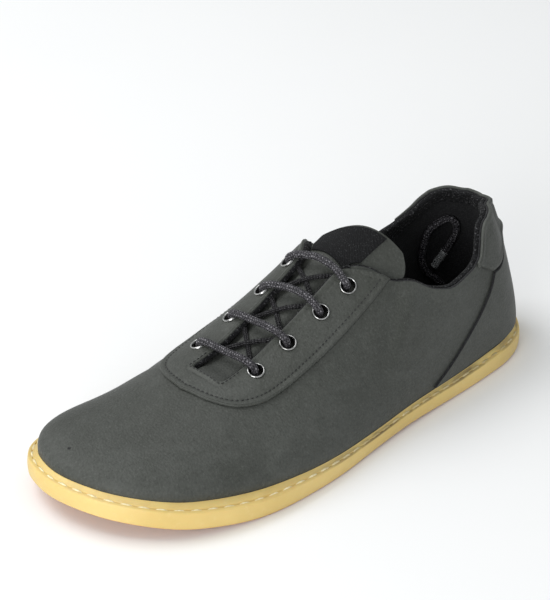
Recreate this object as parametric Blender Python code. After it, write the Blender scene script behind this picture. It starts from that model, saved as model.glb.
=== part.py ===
"""A left barefoot shoe: cup sole, insole, hollow leather upper with overlays, tongue, eyelets and lace.

The upper and everything sewn to it follow one surface, the last. A point on the last has three
values: w runs from 0 at the heel's back to 1 at the toe's tip, h runs up a rib from 0 at the sole
to 1 on the ridge line, and side is +1 for the outer (lateral) half and -1 for the inner (medial)
half. Ribs fan out at the heel and at the toe and lie straight across in between.

Metres, +Z up, the toe towards -Y and the wearer's left towards +X.
"""

import math

import bmesh
import bpy
import numpy as np

# main sizes
LENGTH = 0.285
BALL_WIDTH = 0.108
INSTEP_HEIGHT = 0.075
HEEL_HEIGHT = 0.075

# sole
SIDE_WALL = 0.0092
TOE_SPRING = 0.010
CUP_FLOOR = 0.0045
LEDGE = 0.0068
LEDGE_RISE = 0.0020
RIM_ROUND = 0.0008
EDGE_CHAMFER = 0.0012
GROOVE_DEPTH = 0.0009
TREAD_DEPTH = 0.0012
TREAD_WIDTH = 0.0030
INSOLE_THICKNESS = 0.0030
INSOLE_CHAMFER = 0.0008

# leather
WALL = 0.0020
EYESTAY_THICKNESS = 0.0013
COUNTER_THICKNESS = 0.0010
TAB_THICKNESS = 0.0013
TONGUE_THICKNESS = 0.0030
LABEL_THICKNESS = 0.0008

# throat and lacing
THROAT_HALF_WIDTH = 0.0110
EYELET_RADIUS = 0.0042
EYELET_HOLE_RADIUS = 0.0026
EYELET_RIM_HEIGHT = 0.0009
EYELET_BARREL_WALL = 0.0005
LACE_DIAMETER = 0.0036

# clearance between neighbouring pieces, under the overlays, and under the bending tongue
CLEAR = 0.0003
OVERLAY_CLEAR = 0.0004
TONGUE_CLEAR = 0.0008

SIDES = (1, -1)

# plan outline of the sole: share of the length from the heel's back,
# lateral and medial half widths as shares of the ball width
OUTLINE = np.array([
    (0.018, 0.170, 0.130),
    (0.053, 0.275, 0.240),
    (0.105, 0.338, 0.295),
    (0.175, 0.368, 0.310),
    (0.280, 0.392, 0.318),
    (0.385, 0.415, 0.330),
    (0.490, 0.450, 0.370),
    (0.595, 0.490, 0.435),
    (0.700, 0.500, 0.485),
    (0.770, 0.480, 0.502),
    (0.840, 0.430, 0.508),
    (0.900, 0.350, 0.482),
    (0.950, 0.225, 0.415),
    (0.983, 0.080, 0.310),
])
HEEL_MIDDLE = 0.020
TOE_MIDDLE = -0.125

# height of the underside above the floor: share of the length, share of the toe spring
UNDERSIDE = np.array([
    (0.00, 0.12),
    (0.05, 0.00),
    (0.22, 0.00),
    (0.40, 0.10),
    (0.56, 0.00),
    (0.74, 0.00),
    (0.86, 0.30),
    (1.00, 1.00),
])

# side wall: share of the length, wall height as a share of SIDE_WALL, ledge as a share of LEDGE
WALL_AND_LEDGE = np.array([
    (0.00, 0.93, 0.44),
    (0.10, 0.98, 0.53),
    (0.30, 0.83, 0.41),
    (0.45, 0.75, 0.30),
    (0.60, 0.88, 0.46),
    (0.80, 1.00, 1.00),
    (1.00, 0.98, 0.66),
])

# ridge line of the last: share of the length, sideways place as a share of the ball width,
# height as a share of the instep height
RIDGE = np.array([
    (0.115, -0.010, 1.300),
    (0.200, -0.010, 1.345),
    (0.300, -0.028, 1.270),
    (0.400, -0.050, 1.105),
    (0.470, -0.055, 0.940),
    (0.560, -0.055, 0.749),
    (0.650, -0.055, 0.602),
    (0.740, -0.065, 0.525),
    (0.825, -0.075, 0.467),
])

# shape of the ribs: w, then for the lateral and for the medial half the lean as a share of the
# ball width, the rise as a share of the instep height and the fullness of the shoulder
RIBS = np.array([
    (0.00, 0.018, 0.36, 0.31, 0.018, 0.36, 0.31),
    (0.04, 0.013, 0.345, 0.43, 0.017, 0.352, 0.43),
    (0.10, 0.005, 0.32, 0.28, 0.014, 0.34, 0.50),
    (0.20, 0.005, 0.34, 0.46, 0.018, 0.35, 0.72),
    (0.35, 0.028, 0.29, 0.54, 0.028, 0.43, 1.02),
    (0.50, 0.028, 0.16, 0.45, 0.037, 0.40, 0.88),
    (0.65, 0.037, 0.13, 0.46, 0.037, 0.29, 0.68),
    (0.80, 0.028, 0.13, 0.56, 0.028, 0.19, 0.68),
    (0.90, 0.018, 0.13, 0.60, 0.028, 0.20, 0.74),
    (1.00, 0.018, 0.13, 0.64, 0.018, 0.13, 0.64),
])
W_HEEL = 0.20
W_TOE = 0.80

# topline: w, lateral and medial heights as shares of the heel height
COLLAR = np.array([
    (0.00, 0.984, 0.984),
    (0.03, 0.986, 0.986),
    (0.06, 0.995, 0.995),
    (0.12, 1.000, 1.000),
    (0.19, 1.000, 0.975),
    (0.21, 0.980, 0.930),
    (0.22, 0.945, 0.885),
    (0.23, 0.870, 0.855),
    (0.24, 0.795, 0.830),
    (0.26, 0.755, 0.790),
    (0.30, 0.725, 0.745),
    (0.34, 0.765, 0.765),
    (0.38, 0.865, 0.840),
])
# topline along the facing of each side: w, distance from the ridge as a share of the throat's half width
FACING = {
    1: np.array([
        (0.410, 2.40),
        (0.430, 1.80),
        (0.450, 1.32),
        (0.470, 1.05),
        (0.500, 1.00),
        (0.690, 1.00),
    ]),
    -1: np.array([
        (0.410, 2.40),
        (0.430, 1.88),
        (0.450, 1.40),
        (0.462, 1.05),
        (0.476, 0.76),
        (0.500, 0.70),
        (0.690, 0.70),
    ]),
}
W_THROAT = 0.69

# eyestay on each side: w and distance from the ridge of the inner edge, then of the outer edge, the
# distances as shares of the throat's half width
EYESTAY = {
    1: np.array([
        (0.468, 1.06, 0.412, 2.34),
        (0.490, 1.00, 0.445, 2.50),
        (0.530, 1.00, 0.510, 2.66),
        (0.570, 1.00, 0.565, 2.76),
        (0.610, 1.00, 0.615, 2.80),
        (0.650, 1.00, 0.655, 2.74),
        (0.680, 1.00, 0.690, 2.45),
        (0.690, 0.80, 0.712, 1.90),
        (0.690, 0.40, 0.726, 1.00),
        (0.690, 0.00, 0.732, 0.00),
    ]),
    -1: np.array([
        (0.474, 0.84, 0.412, 2.34),
        (0.496, 0.71, 0.445, 2.50),
        (0.530, 0.70, 0.510, 2.66),
        (0.570, 0.70, 0.565, 2.76),
        (0.610, 0.70, 0.615, 2.80),
        (0.650, 0.70, 0.655, 2.74),
        (0.680, 0.70, 0.690, 2.45),
        (0.690, 0.56, 0.712, 1.90),
        (0.690, 0.28, 0.726, 1.00),
        (0.690, 0.00, 0.732, 0.00),
    ]),
}

# lower edge of the heel tab: w, height as a share of the heel height
TAB_EDGE = np.array([
    (0.000, 0.790),
    (0.080, 0.765),
    (0.150, 0.715),
    (0.190, 0.675),
    (0.212, 0.668),
    (0.230, 0.710),
    (0.247, 0.760),
])
# seam that ends the counter in front: w, height as a share of the heel height
COUNTER_SEAM = np.array([
    (0.212, 0.655),
    (0.225, 0.590),
    (0.250, 0.505),
    (0.290, 0.390),
    (0.330, 0.270),
    (0.372, 0.160),
])

# tongue: w, half width as a share of the throat's half width
TONGUE = np.array([
    (0.415, 2.05),
    (0.418, 2.32),
    (0.424, 2.48),
    (0.500, 2.40),
    (0.600, 2.10),
    (0.690, 1.80),
    (0.720, 1.60),
])
# the top edge slants, by this much in w at the tongue's sides, down to nothing at SLANT_END
TONGUE_SLANT = 0.0370
SLANT_END = 0.58

# eyelets of each side from the top one down: w, distance from the ridge as a share of the throat's half width
EYELETS = {
    1: ((0.471, 1.68), (0.521, 1.62), (0.582, 1.57), (0.641, 1.52)),
    -1: ((0.489, 1.17), (0.539, 1.21), (0.590, 1.50), (0.649, 1.60)),
}

# woven patch on the tongue's upper end: its sides as shares of the throat's half width, w of its
# lower edge, and how far it stays in w from the facing's top edge
LABEL_SIDES = (-1.15, 1.45)
LABEL_END = 0.462
LABEL_GAP = 0.007

# route of the free lace end inside the collar, from under the tongue down the lateral wall, over the
# insole and up the heel's medial wall in a loop: x, y and z in metres
LACE_END = (
    (0.0140, 0.0450, 0.0655),
    (0.0215, 0.0500, 0.0600),
    (0.0275, 0.0570, 0.0500),
    (0.0318, 0.0640, 0.0360),
    (0.0335, 0.0710, 0.0220),
    (0.0300, 0.0790, 0.0125),
    (0.0200, 0.0880, 0.0102),
    (0.0060, 0.1000, 0.0102),
    (-0.0060, 0.1120, 0.0102),
    (-0.0130, 0.1195, 0.0116),
    (-0.0175, 0.1235, 0.0155),
    (-0.0205, 0.1200, 0.0203),
    (-0.0225, 0.1150, 0.0255),
    (-0.0228, 0.1116, 0.0335),
    (-0.0218, 0.1114, 0.0420),
    (-0.0203, 0.1123, 0.0495),
    (-0.0184, 0.1150, 0.0533),
    (-0.0161, 0.1180, 0.0556),
    (-0.0137, 0.1206, 0.0568),
    (-0.0118, 0.1230, 0.0542),
    (-0.0121, 0.1241, 0.0487),
    (-0.0143, 0.1235, 0.0425),
    (-0.0170, 0.1219, 0.0362),
    (-0.0196, 0.1199, 0.0303),
    (-0.0207, 0.1187, 0.0275),
)


def read(table, column, at):
    """Value of a table's column at a place in its first column, on a smooth curve that never overshoots."""
    xs = table[:, 0]
    ys = table[:, column]
    steps = np.diff(xs)
    rates = np.diff(ys) / steps
    slopes = np.empty_like(ys)
    slopes[0] = rates[0]
    slopes[-1] = rates[-1]
    for i in range(1, len(xs) - 1):
        if rates[i - 1] * rates[i] <= 0:
            slopes[i] = 0.0
        else:
            slopes[i] = 2 * rates[i - 1] * rates[i] / (rates[i - 1] + rates[i])
    at = np.clip(np.asarray(at, float), xs[0], xs[-1])
    i = np.clip(np.searchsorted(xs, at, side="right") - 1, 0, len(xs) - 2)
    t = (at - xs[i]) / steps[i]
    start = (2 * t**3 - 3 * t**2 + 1) * ys[i] + (t**3 - 2 * t**2 + t) * steps[i] * slopes[i]
    end = (3 * t**2 - 2 * t**3) * ys[i + 1] + (t**3 - t**2) * steps[i] * slopes[i + 1]
    return start + end


def outline(side):
    """Dense edge line of the sole on one side, rows of (x, distance from the heel's back)."""
    own = 1 if side > 0 else 2
    other = 3 - own
    points = [(-side * OUTLINE[0, other] * BALL_WIDTH, OUTLINE[0, 0] * LENGTH)]
    points.append((HEEL_MIDDLE * BALL_WIDTH, 0.0))
    for row in OUTLINE:
        points.append((side * row[own] * BALL_WIDTH, row[0] * LENGTH))
    points.append((TOE_MIDDLE * BALL_WIDTH, LENGTH))
    points.append((-side * OUTLINE[-1, other] * BALL_WIDTH, OUTLINE[-1, 0] * LENGTH))
    points = np.array(points)
    run = np.concatenate([[0.0], np.cumsum(np.linalg.norm(np.diff(points, axis=0), axis=1))])
    at = np.linspace(run[1], run[-2], 401)
    chord = (points[2:] - points[:-2]) / (run[2:] - run[:-2])[:, None]
    slopes = np.vstack([chord[:1], chord, chord[-1:]])
    i = np.clip(np.searchsorted(run, at, side="right") - 1, 1, len(run) - 3)
    span = (run[i + 1] - run[i])[:, None]
    t = ((at - run[i]) / span[:, 0])[:, None]
    line = (2 * t**3 - 3 * t**2 + 1) * points[i] + (t**3 - 2 * t**2 + t) * span * slopes[i]
    line += (3 * t**2 - 2 * t**3) * points[i + 1] + (t**3 - t**2) * span * slopes[i + 1]
    return line


def outward(line, side):
    """Unit normals of an edge line, pointing away from the foot."""
    run = np.gradient(line, axis=0)
    run[0] = (side, 0.0)
    run[-1] = (-side, 0.0)
    run /= np.linalg.norm(run, axis=1)[:, None]
    return np.stack([run[:, 1], -run[:, 0]], axis=1) * side


def ledge_width(s):
    """Width of the ledge between the sole's rim and the upper."""
    return LEDGE * read(WALL_AND_LEDGE, 2, s / LENGTH)


def underside(s):
    """Height of the sole's underside above the floor."""
    return TOE_SPRING * read(UNDERSIDE, 1, s / LENGTH)


def rim(s):
    """Height of the sole's rim above the floor."""
    return underside(s) + SIDE_WALL * read(WALL_AND_LEDGE, 1, s / LENGTH)


def cup_floor(s):
    """Height of the floor of the cup sole."""
    return underside(s) + CUP_FLOOR


def feather(s):
    """Height of the line where the upper meets the ledge."""
    return rim(s) + LEDGE_RISE


EDGE = {side: outline(side) for side in SIDES}
EDGE_OUT = {side: outward(EDGE[side], side) for side in SIDES}
FOOT = {side: EDGE[side] - EDGE_OUT[side] * ledge_width(EDGE[side][:, 1])[:, None] for side in SIDES}
# the origin is under the middle of the outline
MIDDLE_X = 0.5 * (EDGE[1][:, 0].max() + EDGE[-1][:, 0].min())
MIDDLE_S = 0.5 * LENGTH


def place(x, s, z):
    """A point of the shoe in the world's axes."""
    return np.array([x - MIDDLE_X, MIDDLE_S - s, z])


def ridge(s):
    """Sideways place and height of the ridge line."""
    share = s / LENGTH
    return BALL_WIDTH * read(RIDGE, 1, share), INSTEP_HEIGHT * read(RIDGE, 2, share)


def rib(w, side):
    """Plan point on the ridge, ridge height, direction and foot point of a rib."""
    heel_s = RIDGE[0, 0] * LENGTH
    toe_s = RIDGE[-1, 0] * LENGTH
    line = FOOT[side]
    across = np.array([side, 0.0])
    s = heel_s + (toe_s - heel_s) * np.clip((w - W_HEEL) / (W_TOE - W_HEEL), 0.0, 1.0)
    x, height = ridge(s)
    root = np.array([x, s])
    if W_HEEL <= w <= W_TOE:
        direction = across
    else:
        end = line[0] if w < W_HEEL else line[-1]
        share = w / W_HEEL if w < W_HEEL else (1.0 - w) / (1.0 - W_TOE)
        first = (end - root) / np.linalg.norm(end - root)
        total = math.acos(float(np.clip(first @ across, -1.0, 1.0)))
        turn = total * share
        direction = (math.sin(total - turn) * first + math.sin(turn) * across) / math.sin(total)
    offset = line - root
    miss = offset[:, 0] * direction[1] - offset[:, 1] * direction[0]
    ahead = offset @ direction > 0
    crossings = np.nonzero((miss[:-1] * miss[1:] <= 0) & ahead[:-1] & ahead[1:])[0]
    if len(crossings) == 0:
        return root, height, direction, line[0] if w < W_HEEL else line[-1]
    i = crossings[0]
    share = miss[i] / (miss[i] - miss[i + 1]) if miss[i] != miss[i + 1] else 0.0
    return root, height, direction, line[i] + share * (line[i + 1] - line[i])


RIB_CACHE = {}


def rib_curve(w, side):
    """Root, direction and the four control points (distance from the ridge, height) of a rib."""
    key = (round(w, 9), side)
    if key in RIB_CACHE:
        return RIB_CACHE[key]
    root, height, direction, foot = rib(w, side)
    first = 1 if side > 0 else 4
    lean = read(RIBS, first, w) * BALL_WIDTH
    rise = read(RIBS, first + 1, w) * INSTEP_HEIGHT
    full = read(RIBS, first + 2, w)
    reach = np.linalg.norm(foot - root)
    start = feather(foot[1])
    step = 0.004 * LENGTH
    slope = (ridge(root[1] + step)[1] - ridge(root[1] - step)[1]) / (2 * step)
    if w < W_HEEL:
        slope = 0.0
    if w > W_TOE:
        slope = (ridge(root[1])[1] - ridge(root[1] - step)[1]) / step
    shoulder = height + slope * direction[1] * reach * full
    control = np.array([(reach, start), (reach + lean, start + rise), (reach * full, shoulder), (0.0, height)])
    RIB_CACHE[key] = (root, direction, control, foot)
    return RIB_CACHE[key]


def last_point(w, h, side):
    """Point (x, s, z) on the last."""
    root, direction, control, _ = rib_curve(w, side)
    weights = ((1 - h) ** 3, 3 * (1 - h) ** 2 * h, 3 * (1 - h) * h**2, h**3)
    reach = sum(a * b for a, b in zip(weights, control[:, 0]))
    height = sum(a * b for a, b in zip(weights, control[:, 1]))
    return np.array([root[0] + reach * direction[0], root[1] + reach * direction[1], height])


def last_normal(w, h, side):
    """Unit normal of the last, pointing out of the foot."""
    step = 1e-3
    h = min(h, 0.995)
    up = last_point(w, min(h + step, 1.0), side) - last_point(w, max(h - step, 0.0), side)
    if w < step:
        along = last_point(step, h, side) - last_point(step, h, -side)
        side_sign = side
    elif w > 1 - step:
        along = last_point(1 - step, h, -side) - last_point(1 - step, h, side)
        side_sign = side
    else:
        along = last_point(w + step, h, side) - last_point(w - step, h, side)
        side_sign = side
    normal = np.cross(along, up) * side_sign
    return normal / np.linalg.norm(normal)


MARGIN = -1.0


def on_last(w, h, side, lift):
    """World point at a lift above the last; h of MARGIN is the foot of the margin in the cup."""
    if h == MARGIN:
        foot = last_point(w, 0.0, side)
        normal = last_normal(w, 0.0, side)
        flat = normal[:2] / np.linalg.norm(normal[:2])
        x, s = foot[:2] + flat * lift
        return place(x, s, cup_floor(foot[1]) + CLEAR)
    x, s, z = last_point(w, h, side) + last_normal(w, h, side) * lift
    return place(x, s, z)


def h_at_height(w, side, height):
    """Where a rib reaches a height."""
    hs = np.linspace(0.0, 1.0, 121)
    zs = [last_point(w, h, side)[2] for h in hs]
    return float(np.interp(height, np.maximum.accumulate(zs), hs))


def h_at_distance(w, side, distance):
    """Where a rib comes to a sideways distance from the ridge."""
    hs = np.linspace(0.35, 1.0, 121)
    root = rib_curve(w, side)[0]
    reach = [np.linalg.norm(last_point(w, h, side)[:2] - root) for h in hs]
    return float(np.interp(-distance, -np.array(reach), hs))


def topline_rows(side):
    """Rows of (w, h) along the collar and the throat's edge on one side."""
    column = 1 if side > 0 else 2
    rows = [(row[0], h_at_height(row[0], side, row[column] * HEEL_HEIGHT)) for row in COLLAR]
    rows += [(row[0], h_at_distance(row[0], side, row[1] * THROAT_HALF_WIDTH)) for row in FACING[side]]
    return np.array(rows)


TOPLINE = {side: topline_rows(side) for side in SIDES}


def spread(first, last, count):
    """Evenly spaced values from first to last, both included."""
    return [first + (last - first) * i / count for i in range(count + 1)]


def shared(w, h, side):
    """Key of a point that both halves may share."""
    if h >= 1.0:
        return (round(min(w, W_TOE), 6), 1.0, 0)
    if w <= 0.0 or w >= 1.0:
        return (round(w, 6), round(h, 6), 0)
    return (round(w, 6), round(h, 6), side)


def sheet_solid(name, cells, low, high, material):
    """Closed solid between two lifts over a patch of the last, given as cells of four points."""
    keys = {}
    order = []
    faces = []
    for cell in cells:
        face = []
        for point in cell:
            key = shared(*point)
            if key not in keys:
                keys[key] = len(order)
                order.append(point)
            if keys[key] not in face:
                face.append(keys[key])
        if len(face) > 2:
            faces.append(face)
    return thick_solid(name, order, faces, low, high, material)


def thick_solid(name, order, faces, low, high, material):
    """Closed solid from a sheet of faces: each point goes to its two lifts, open edges get walls."""
    count = len(order)
    verts = [on_last(w, h, side, high) for w, h, side in order]
    verts += [on_last(w, h, side, low) for w, h, side in order]
    edges = {}
    for face in faces:
        for a, b in zip(face, face[1:] + face[:1]):
            edges[(a, b)] = edges.get((a, b), 0) + 1
    solid = [list(face) for face in faces]
    solid += [[i + count for i in reversed(face)] for face in faces]
    for a, b in edges:
        if (b, a) not in edges:
            solid.append([b, a, a + count, b + count])
    return add_object(name, verts, solid, material)


def add_object(name, verts, faces, material):
    """Mesh object with its faces turned outwards and smooth shading up to 35 degrees."""
    mesh = bpy.data.meshes.new(name)
    mesh.from_pydata([tuple(v) for v in verts], [], faces)
    bm = bmesh.new()
    bm.from_mesh(mesh)
    bmesh.ops.recalc_face_normals(bm, faces=bm.faces)
    bm.to_mesh(mesh)
    bm.free()
    mesh.shade_smooth()
    mesh.set_sharp_from_angle(angle=math.radians(35))
    mesh.materials.append(material)
    obj = bpy.data.objects.new(name, mesh)
    bpy.context.scene.collection.objects.link(obj)
    return obj


def make_material(name, colour, roughness, metallic=0.0):
    """Principled material with one colour."""
    material = bpy.data.materials.new(name)
    material.use_nodes = True
    shader = material.node_tree.nodes["Principled BSDF"]
    shader.inputs["Base Color"].default_value = (*colour, 1.0)
    shader.inputs["Roughness"].default_value = roughness
    shader.inputs["Metallic"].default_value = metallic
    return material


def cell_between(w0, w1, h00, h01, h10, h11, side):
    """Cell of four points between two ribs, wound so that both halves face the same way."""
    cell = [(w0, h00, side), (w0, h01, side), (w1, h11, side), (w1, h10, side)]
    return cell if side > 0 else cell[::-1]


# outsole and insole

SOLE_STATIONS = 36


def stations():
    """Distances from the heel's back, closer together at the round ends."""
    return [LENGTH * 0.5 * (1 - math.cos(math.pi * i / SOLE_STATIONS)) for i in range(SOLE_STATIONS + 1)]


def edge_point(side, s, inset):
    """Point (x, s) inside the outline by an inset, at a station."""
    line = EDGE[side]
    out = EDGE_OUT[side]
    x = np.interp(s, line[:, 1], line[:, 0])
    normal = np.array([np.interp(s, line[:, 1], out[:, 0]), np.interp(s, line[:, 1], out[:, 1])])
    normal /= np.linalg.norm(normal)
    return np.array([x, s]) - normal * inset


def ring(inset, height):
    """Points round the shoe at an inset and a height, both functions of the station."""
    rows = stations()
    points = []
    for s in rows:
        x, t = edge_point(1, s, inset(s))
        points.append(place(x, t, height(s, t)))
    for s in rows[-2:0:-1]:
        x, t = edge_point(-1, s, inset(s))
        points.append(place(x, t, height(s, t)))
    return points


def cap(start):
    """Faces that close a ring from side to side, station by station."""
    size = 2 * SOLE_STATIONS
    left = list(range(SOLE_STATIONS + 1))
    right = [0] + list(range(size - 1, SOLE_STATIONS - 1, -1))
    faces = []
    for i in range(SOLE_STATIONS):
        face = [left[i], left[i + 1], right[i + 1], right[i]]
        face = [start + k for k in dict.fromkeys(face)]
        faces.append(face)
    return faces


def ring_solid(name, rings, material):
    """Closed solid through a stack of rings, with the first and last ones capped."""
    size = len(rings[0])
    verts = [point for points in rings for point in points]
    faces = cap(0) + [face[::-1] for face in cap(size * (len(rings) - 1))]
    for k in range(len(rings) - 1):
        for i in range(size):
            j = (i + 1) % size
            faces.append([k * size + i, k * size + j, (k + 1) * size + j, (k + 1) * size + i])
    return add_object(name, verts, faces, material)


def ledge_height(share):
    """Height function of the ledge at a share of its width from the rim."""
    return lambda s, t: rim(s) + LEDGE_RISE * share**1.5


def groove_height(share):
    """Height function of the stitch groove's floor."""
    return lambda s, t: rim(s) + LEDGE_RISE * share**1.5 - GROOVE_DEPTH * ledge_width(s) / LEDGE


def outsole(material):
    """Cup sole with chamfered edge, side wall, grooved ledge and cup floor, and a cut tread."""
    rings = [
        ring(lambda s: EDGE_CHAMFER, lambda s, t: underside(t)),
        ring(lambda s: 0.0, lambda s, t: underside(s) + EDGE_CHAMFER),
        ring(lambda s: 0.0, lambda s, t: rim(s) - RIM_ROUND),
        ring(lambda s: RIM_ROUND, ledge_height(0.0)),
        ring(lambda s: RIM_ROUND + 0.24 * (ledge_width(s) - RIM_ROUND), ledge_height(0.24)),
        ring(lambda s: RIM_ROUND + 0.30 * (ledge_width(s) - RIM_ROUND), groove_height(0.30)),
        ring(lambda s: RIM_ROUND + 0.40 * (ledge_width(s) - RIM_ROUND), groove_height(0.40)),
        ring(lambda s: RIM_ROUND + 0.46 * (ledge_width(s) - RIM_ROUND), ledge_height(0.46)),
        ring(lambda s: ledge_width(s) - CLEAR, ledge_height(1.0)),
        ring(lambda s: ledge_width(s) - CLEAR, lambda s, t: cup_floor(t)),
    ]
    sole = ring_solid("outsole", rings, material)
    cutter = tread_cutter()
    cut(sole, cutter)
    return sole


# tread grooves: share of the length at the middle, half width as a share of the ball width,
# sideways middle as a share of the ball width
TREAD = np.array([
    (0.070, 0.150, 0.02),
    (0.120, 0.200, 0.03),
    (0.170, 0.220, 0.03),
    (0.580, 0.340, 0.03),
    (0.635, 0.370, 0.01),
    (0.690, 0.380, 0.00),
    (0.745, 0.370, -0.02),
    (0.800, 0.330, -0.04),
])
TREAD_TURN = math.radians(-9)


def tread_cutter():
    """Bars that cut the flex grooves into the underside."""
    verts = []
    faces = []
    for share, half, middle in TREAD:
        centre = place(middle * BALL_WIDTH, share * LENGTH, 0.0)
        low = -TREAD_WIDTH
        high = underside(share * LENGTH) + TREAD_DEPTH
        base = len(verts)
        for z in (low, high):
            for u, v in ((-1, -1), (1, -1), (1, 1), (-1, 1)):
                dx = u * half * BALL_WIDTH
                dy = v * TREAD_WIDTH / 2
                x = centre[0] + dx * math.cos(TREAD_TURN) - dy * math.sin(TREAD_TURN)
                y = centre[1] + dx * math.sin(TREAD_TURN) + dy * math.cos(TREAD_TURN)
                verts.append((x, y, z))
        quads = ([3, 2, 1, 0], [4, 5, 6, 7], [0, 1, 5, 4], [1, 2, 6, 5], [2, 3, 7, 6], [3, 0, 4, 7])
        faces += [[base + k for k in quad] for quad in quads]
    return add_cutter("tread_cutter", verts, faces)


def add_cutter(name, verts, faces):
    """Hidden object that only cuts others."""
    obj = add_object(name, verts, faces, make_material(name, (0.5, 0.5, 0.5), 0.5))
    obj.hide_render = True
    obj.display_type = "WIRE"
    return obj


def cut(obj, cutter, operation="DIFFERENCE"):
    """Boolean modifier on an object."""
    modifier = obj.modifiers.new(cutter.name, "BOOLEAN")
    modifier.operation = operation
    modifier.solver = "EXACT"
    modifier.object = cutter


def insole(material):
    """Thin footbed on the cup floor, just inside the upper."""
    def inset(s):
        return ledge_width(s) + WALL + CLEAR

    bottom = CLEAR
    top = CLEAR + INSOLE_THICKNESS
    rings = [
        ring(inset, lambda s, t: cup_floor(t) + bottom),
        ring(inset, lambda s, t: cup_floor(t) + top - INSOLE_CHAMFER),
        ring(lambda s: inset(s) + INSOLE_CHAMFER, lambda s, t: cup_floor(t) + top),
    ]
    return ring_solid("insole", rings, material)


# upper

RIB_STOPS = ((0.0, 0.20, 7), (0.20, 0.41, 9), (0.41, 0.47, 4), (0.47, W_THROAT, 8), (W_THROAT, W_TOE, 4), (W_TOE, 1.0, 8))
RIB_ROWS = (0.0, 0.10, 0.21, 0.33, 0.46, 0.60, 0.74, 0.88, 1.0)
VAMP_ROWS = (0.33, 0.66, 1.0)


def rib_places():
    """The w of every rib of the upper."""
    places = [0.0]
    for first, last, count in RIB_STOPS:
        places += spread(first, last, count)[1:]
    return places


def edge_h(w, side):
    """Where a rib's side part ends: the topline, or in front of it the line that continues it."""
    if w <= W_THROAT:
        return float(read(TOPLINE[side], 1, w))
    return h_at_distance(min(w, W_TOE), side, FACING[side][-1, 1] * THROAT_HALF_WIDTH)


def rib_hs(w, side):
    """Heights along a rib, from the margin in the cup up to the ridge."""
    edge = edge_h(w, side)
    side_part = [MARGIN] + [row * edge for row in RIB_ROWS]
    return side_part, [edge] + [edge + (1 - edge) * row for row in VAMP_ROWS]


def upper(material):
    """One hollow shell, open at collar, throat and underneath."""
    cells = []
    places = rib_places()
    for side in SIDES:
        for w0, w1 in zip(places, places[1:]):
            parts = [(rib_hs(w0, side)[0], rib_hs(w1, side)[0])]
            if w0 >= W_THROAT - 1e-6:
                parts.append((rib_hs(w0, side)[1], rib_hs(w1, side)[1]))
            for first, second in parts:
                for j in range(len(first) - 1):
                    corners = (first[j], first[j + 1], second[j], second[j + 1])
                    cells.append(cell_between(w0, w1, *corners, side))
    return sheet_solid("upper", cells, -WALL, 0.0, material)


# overlays

EYESTAY_STEPS = 22
EYESTAY_ROWS = 5


def strip_point(row, share, side):
    """Point between the eyestay's inner and outer edge at a row of its table."""
    w = (1 - share) * row[0] + share * row[2]
    distance = ((1 - share) * row[1] + share * row[3]) * THROAT_HALF_WIDTH
    h = h_at_distance(w, side, distance) if distance > 0 else 1.0
    return (w, h, side)


def eyestay(material):
    """U-shaped overlay round the throat."""
    cells = []
    for side in SIDES:
        index = np.arange(len(EYESTAY[side]), dtype=float)
        table = np.column_stack([index, EYESTAY[side]])
        ends = spread(0.0, index[-1], EYESTAY_STEPS)
        rows = [[float(read(table, column, at)) for column in (1, 2, 3, 4)] for at in ends]
        for first, second in zip(rows, rows[1:]):
            for k in range(EYESTAY_ROWS):
                a = k / EYESTAY_ROWS
                b = (k + 1) / EYESTAY_ROWS
                cell = [
                    strip_point(first, a, side),
                    strip_point(second, a, side),
                    strip_point(second, b, side),
                    strip_point(first, b, side),
                ]
                cells.append(cell if side > 0 else cell[::-1])
    return sheet_solid("eyestay", cells, OVERLAY_CLEAR, OVERLAY_CLEAR + EYESTAY_THICKNESS, material)


TAB_ROWS = 3
TAB_LEAST_H = 0.02


def tab_low(w, side):
    """Lower edge of the heel tab."""
    return h_at_height(w, side, float(read(TAB_EDGE, 1, w)) * HEEL_HEIGHT)


def heel_tab(material):
    """Patch over the top of the heel, down to its curved lower edge."""
    cells = []
    last_w = TAB_EDGE[-1, 0]
    places = spread(0.0, W_HEEL, 8) + spread(W_HEEL, last_w, 3)[1:]
    for side in SIDES:
        for w0, w1 in zip(places, places[1:]):
            for k in range(TAB_ROWS):
                shares = (k / TAB_ROWS, (k + 1) / TAB_ROWS)
                corners = []
                for w in (w0, w1):
                    low = tab_low(w, side)
                    high = float(read(TOPLINE[side], 1, w))
                    low = min(low, high - TAB_LEAST_H)
                    corners += [low + share * (high - low) for share in shares]
                cells.append(cell_between(w0, w1, *corners, side))
    return sheet_solid("heel_tab", cells, OVERLAY_CLEAR, OVERLAY_CLEAR + TAB_THICKNESS, material)


COUNTER_ROWS = 4
COUNTER_LOW_H = 0.02
COUNTER_LEAST_H = 0.01


def counter_high(w, side):
    """Upper edge of the counter: under the heel tab behind, along the seam in front."""
    if w <= COUNTER_SEAM[0, 0]:
        gap = (TAB_EDGE[4, 1] - COUNTER_SEAM[0, 1]) * HEEL_HEIGHT
        return h_at_height(w, side, float(read(TAB_EDGE, 1, w)) * HEEL_HEIGHT - gap)
    return h_at_height(w, side, float(read(COUNTER_SEAM, 1, w)) * HEEL_HEIGHT)


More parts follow.
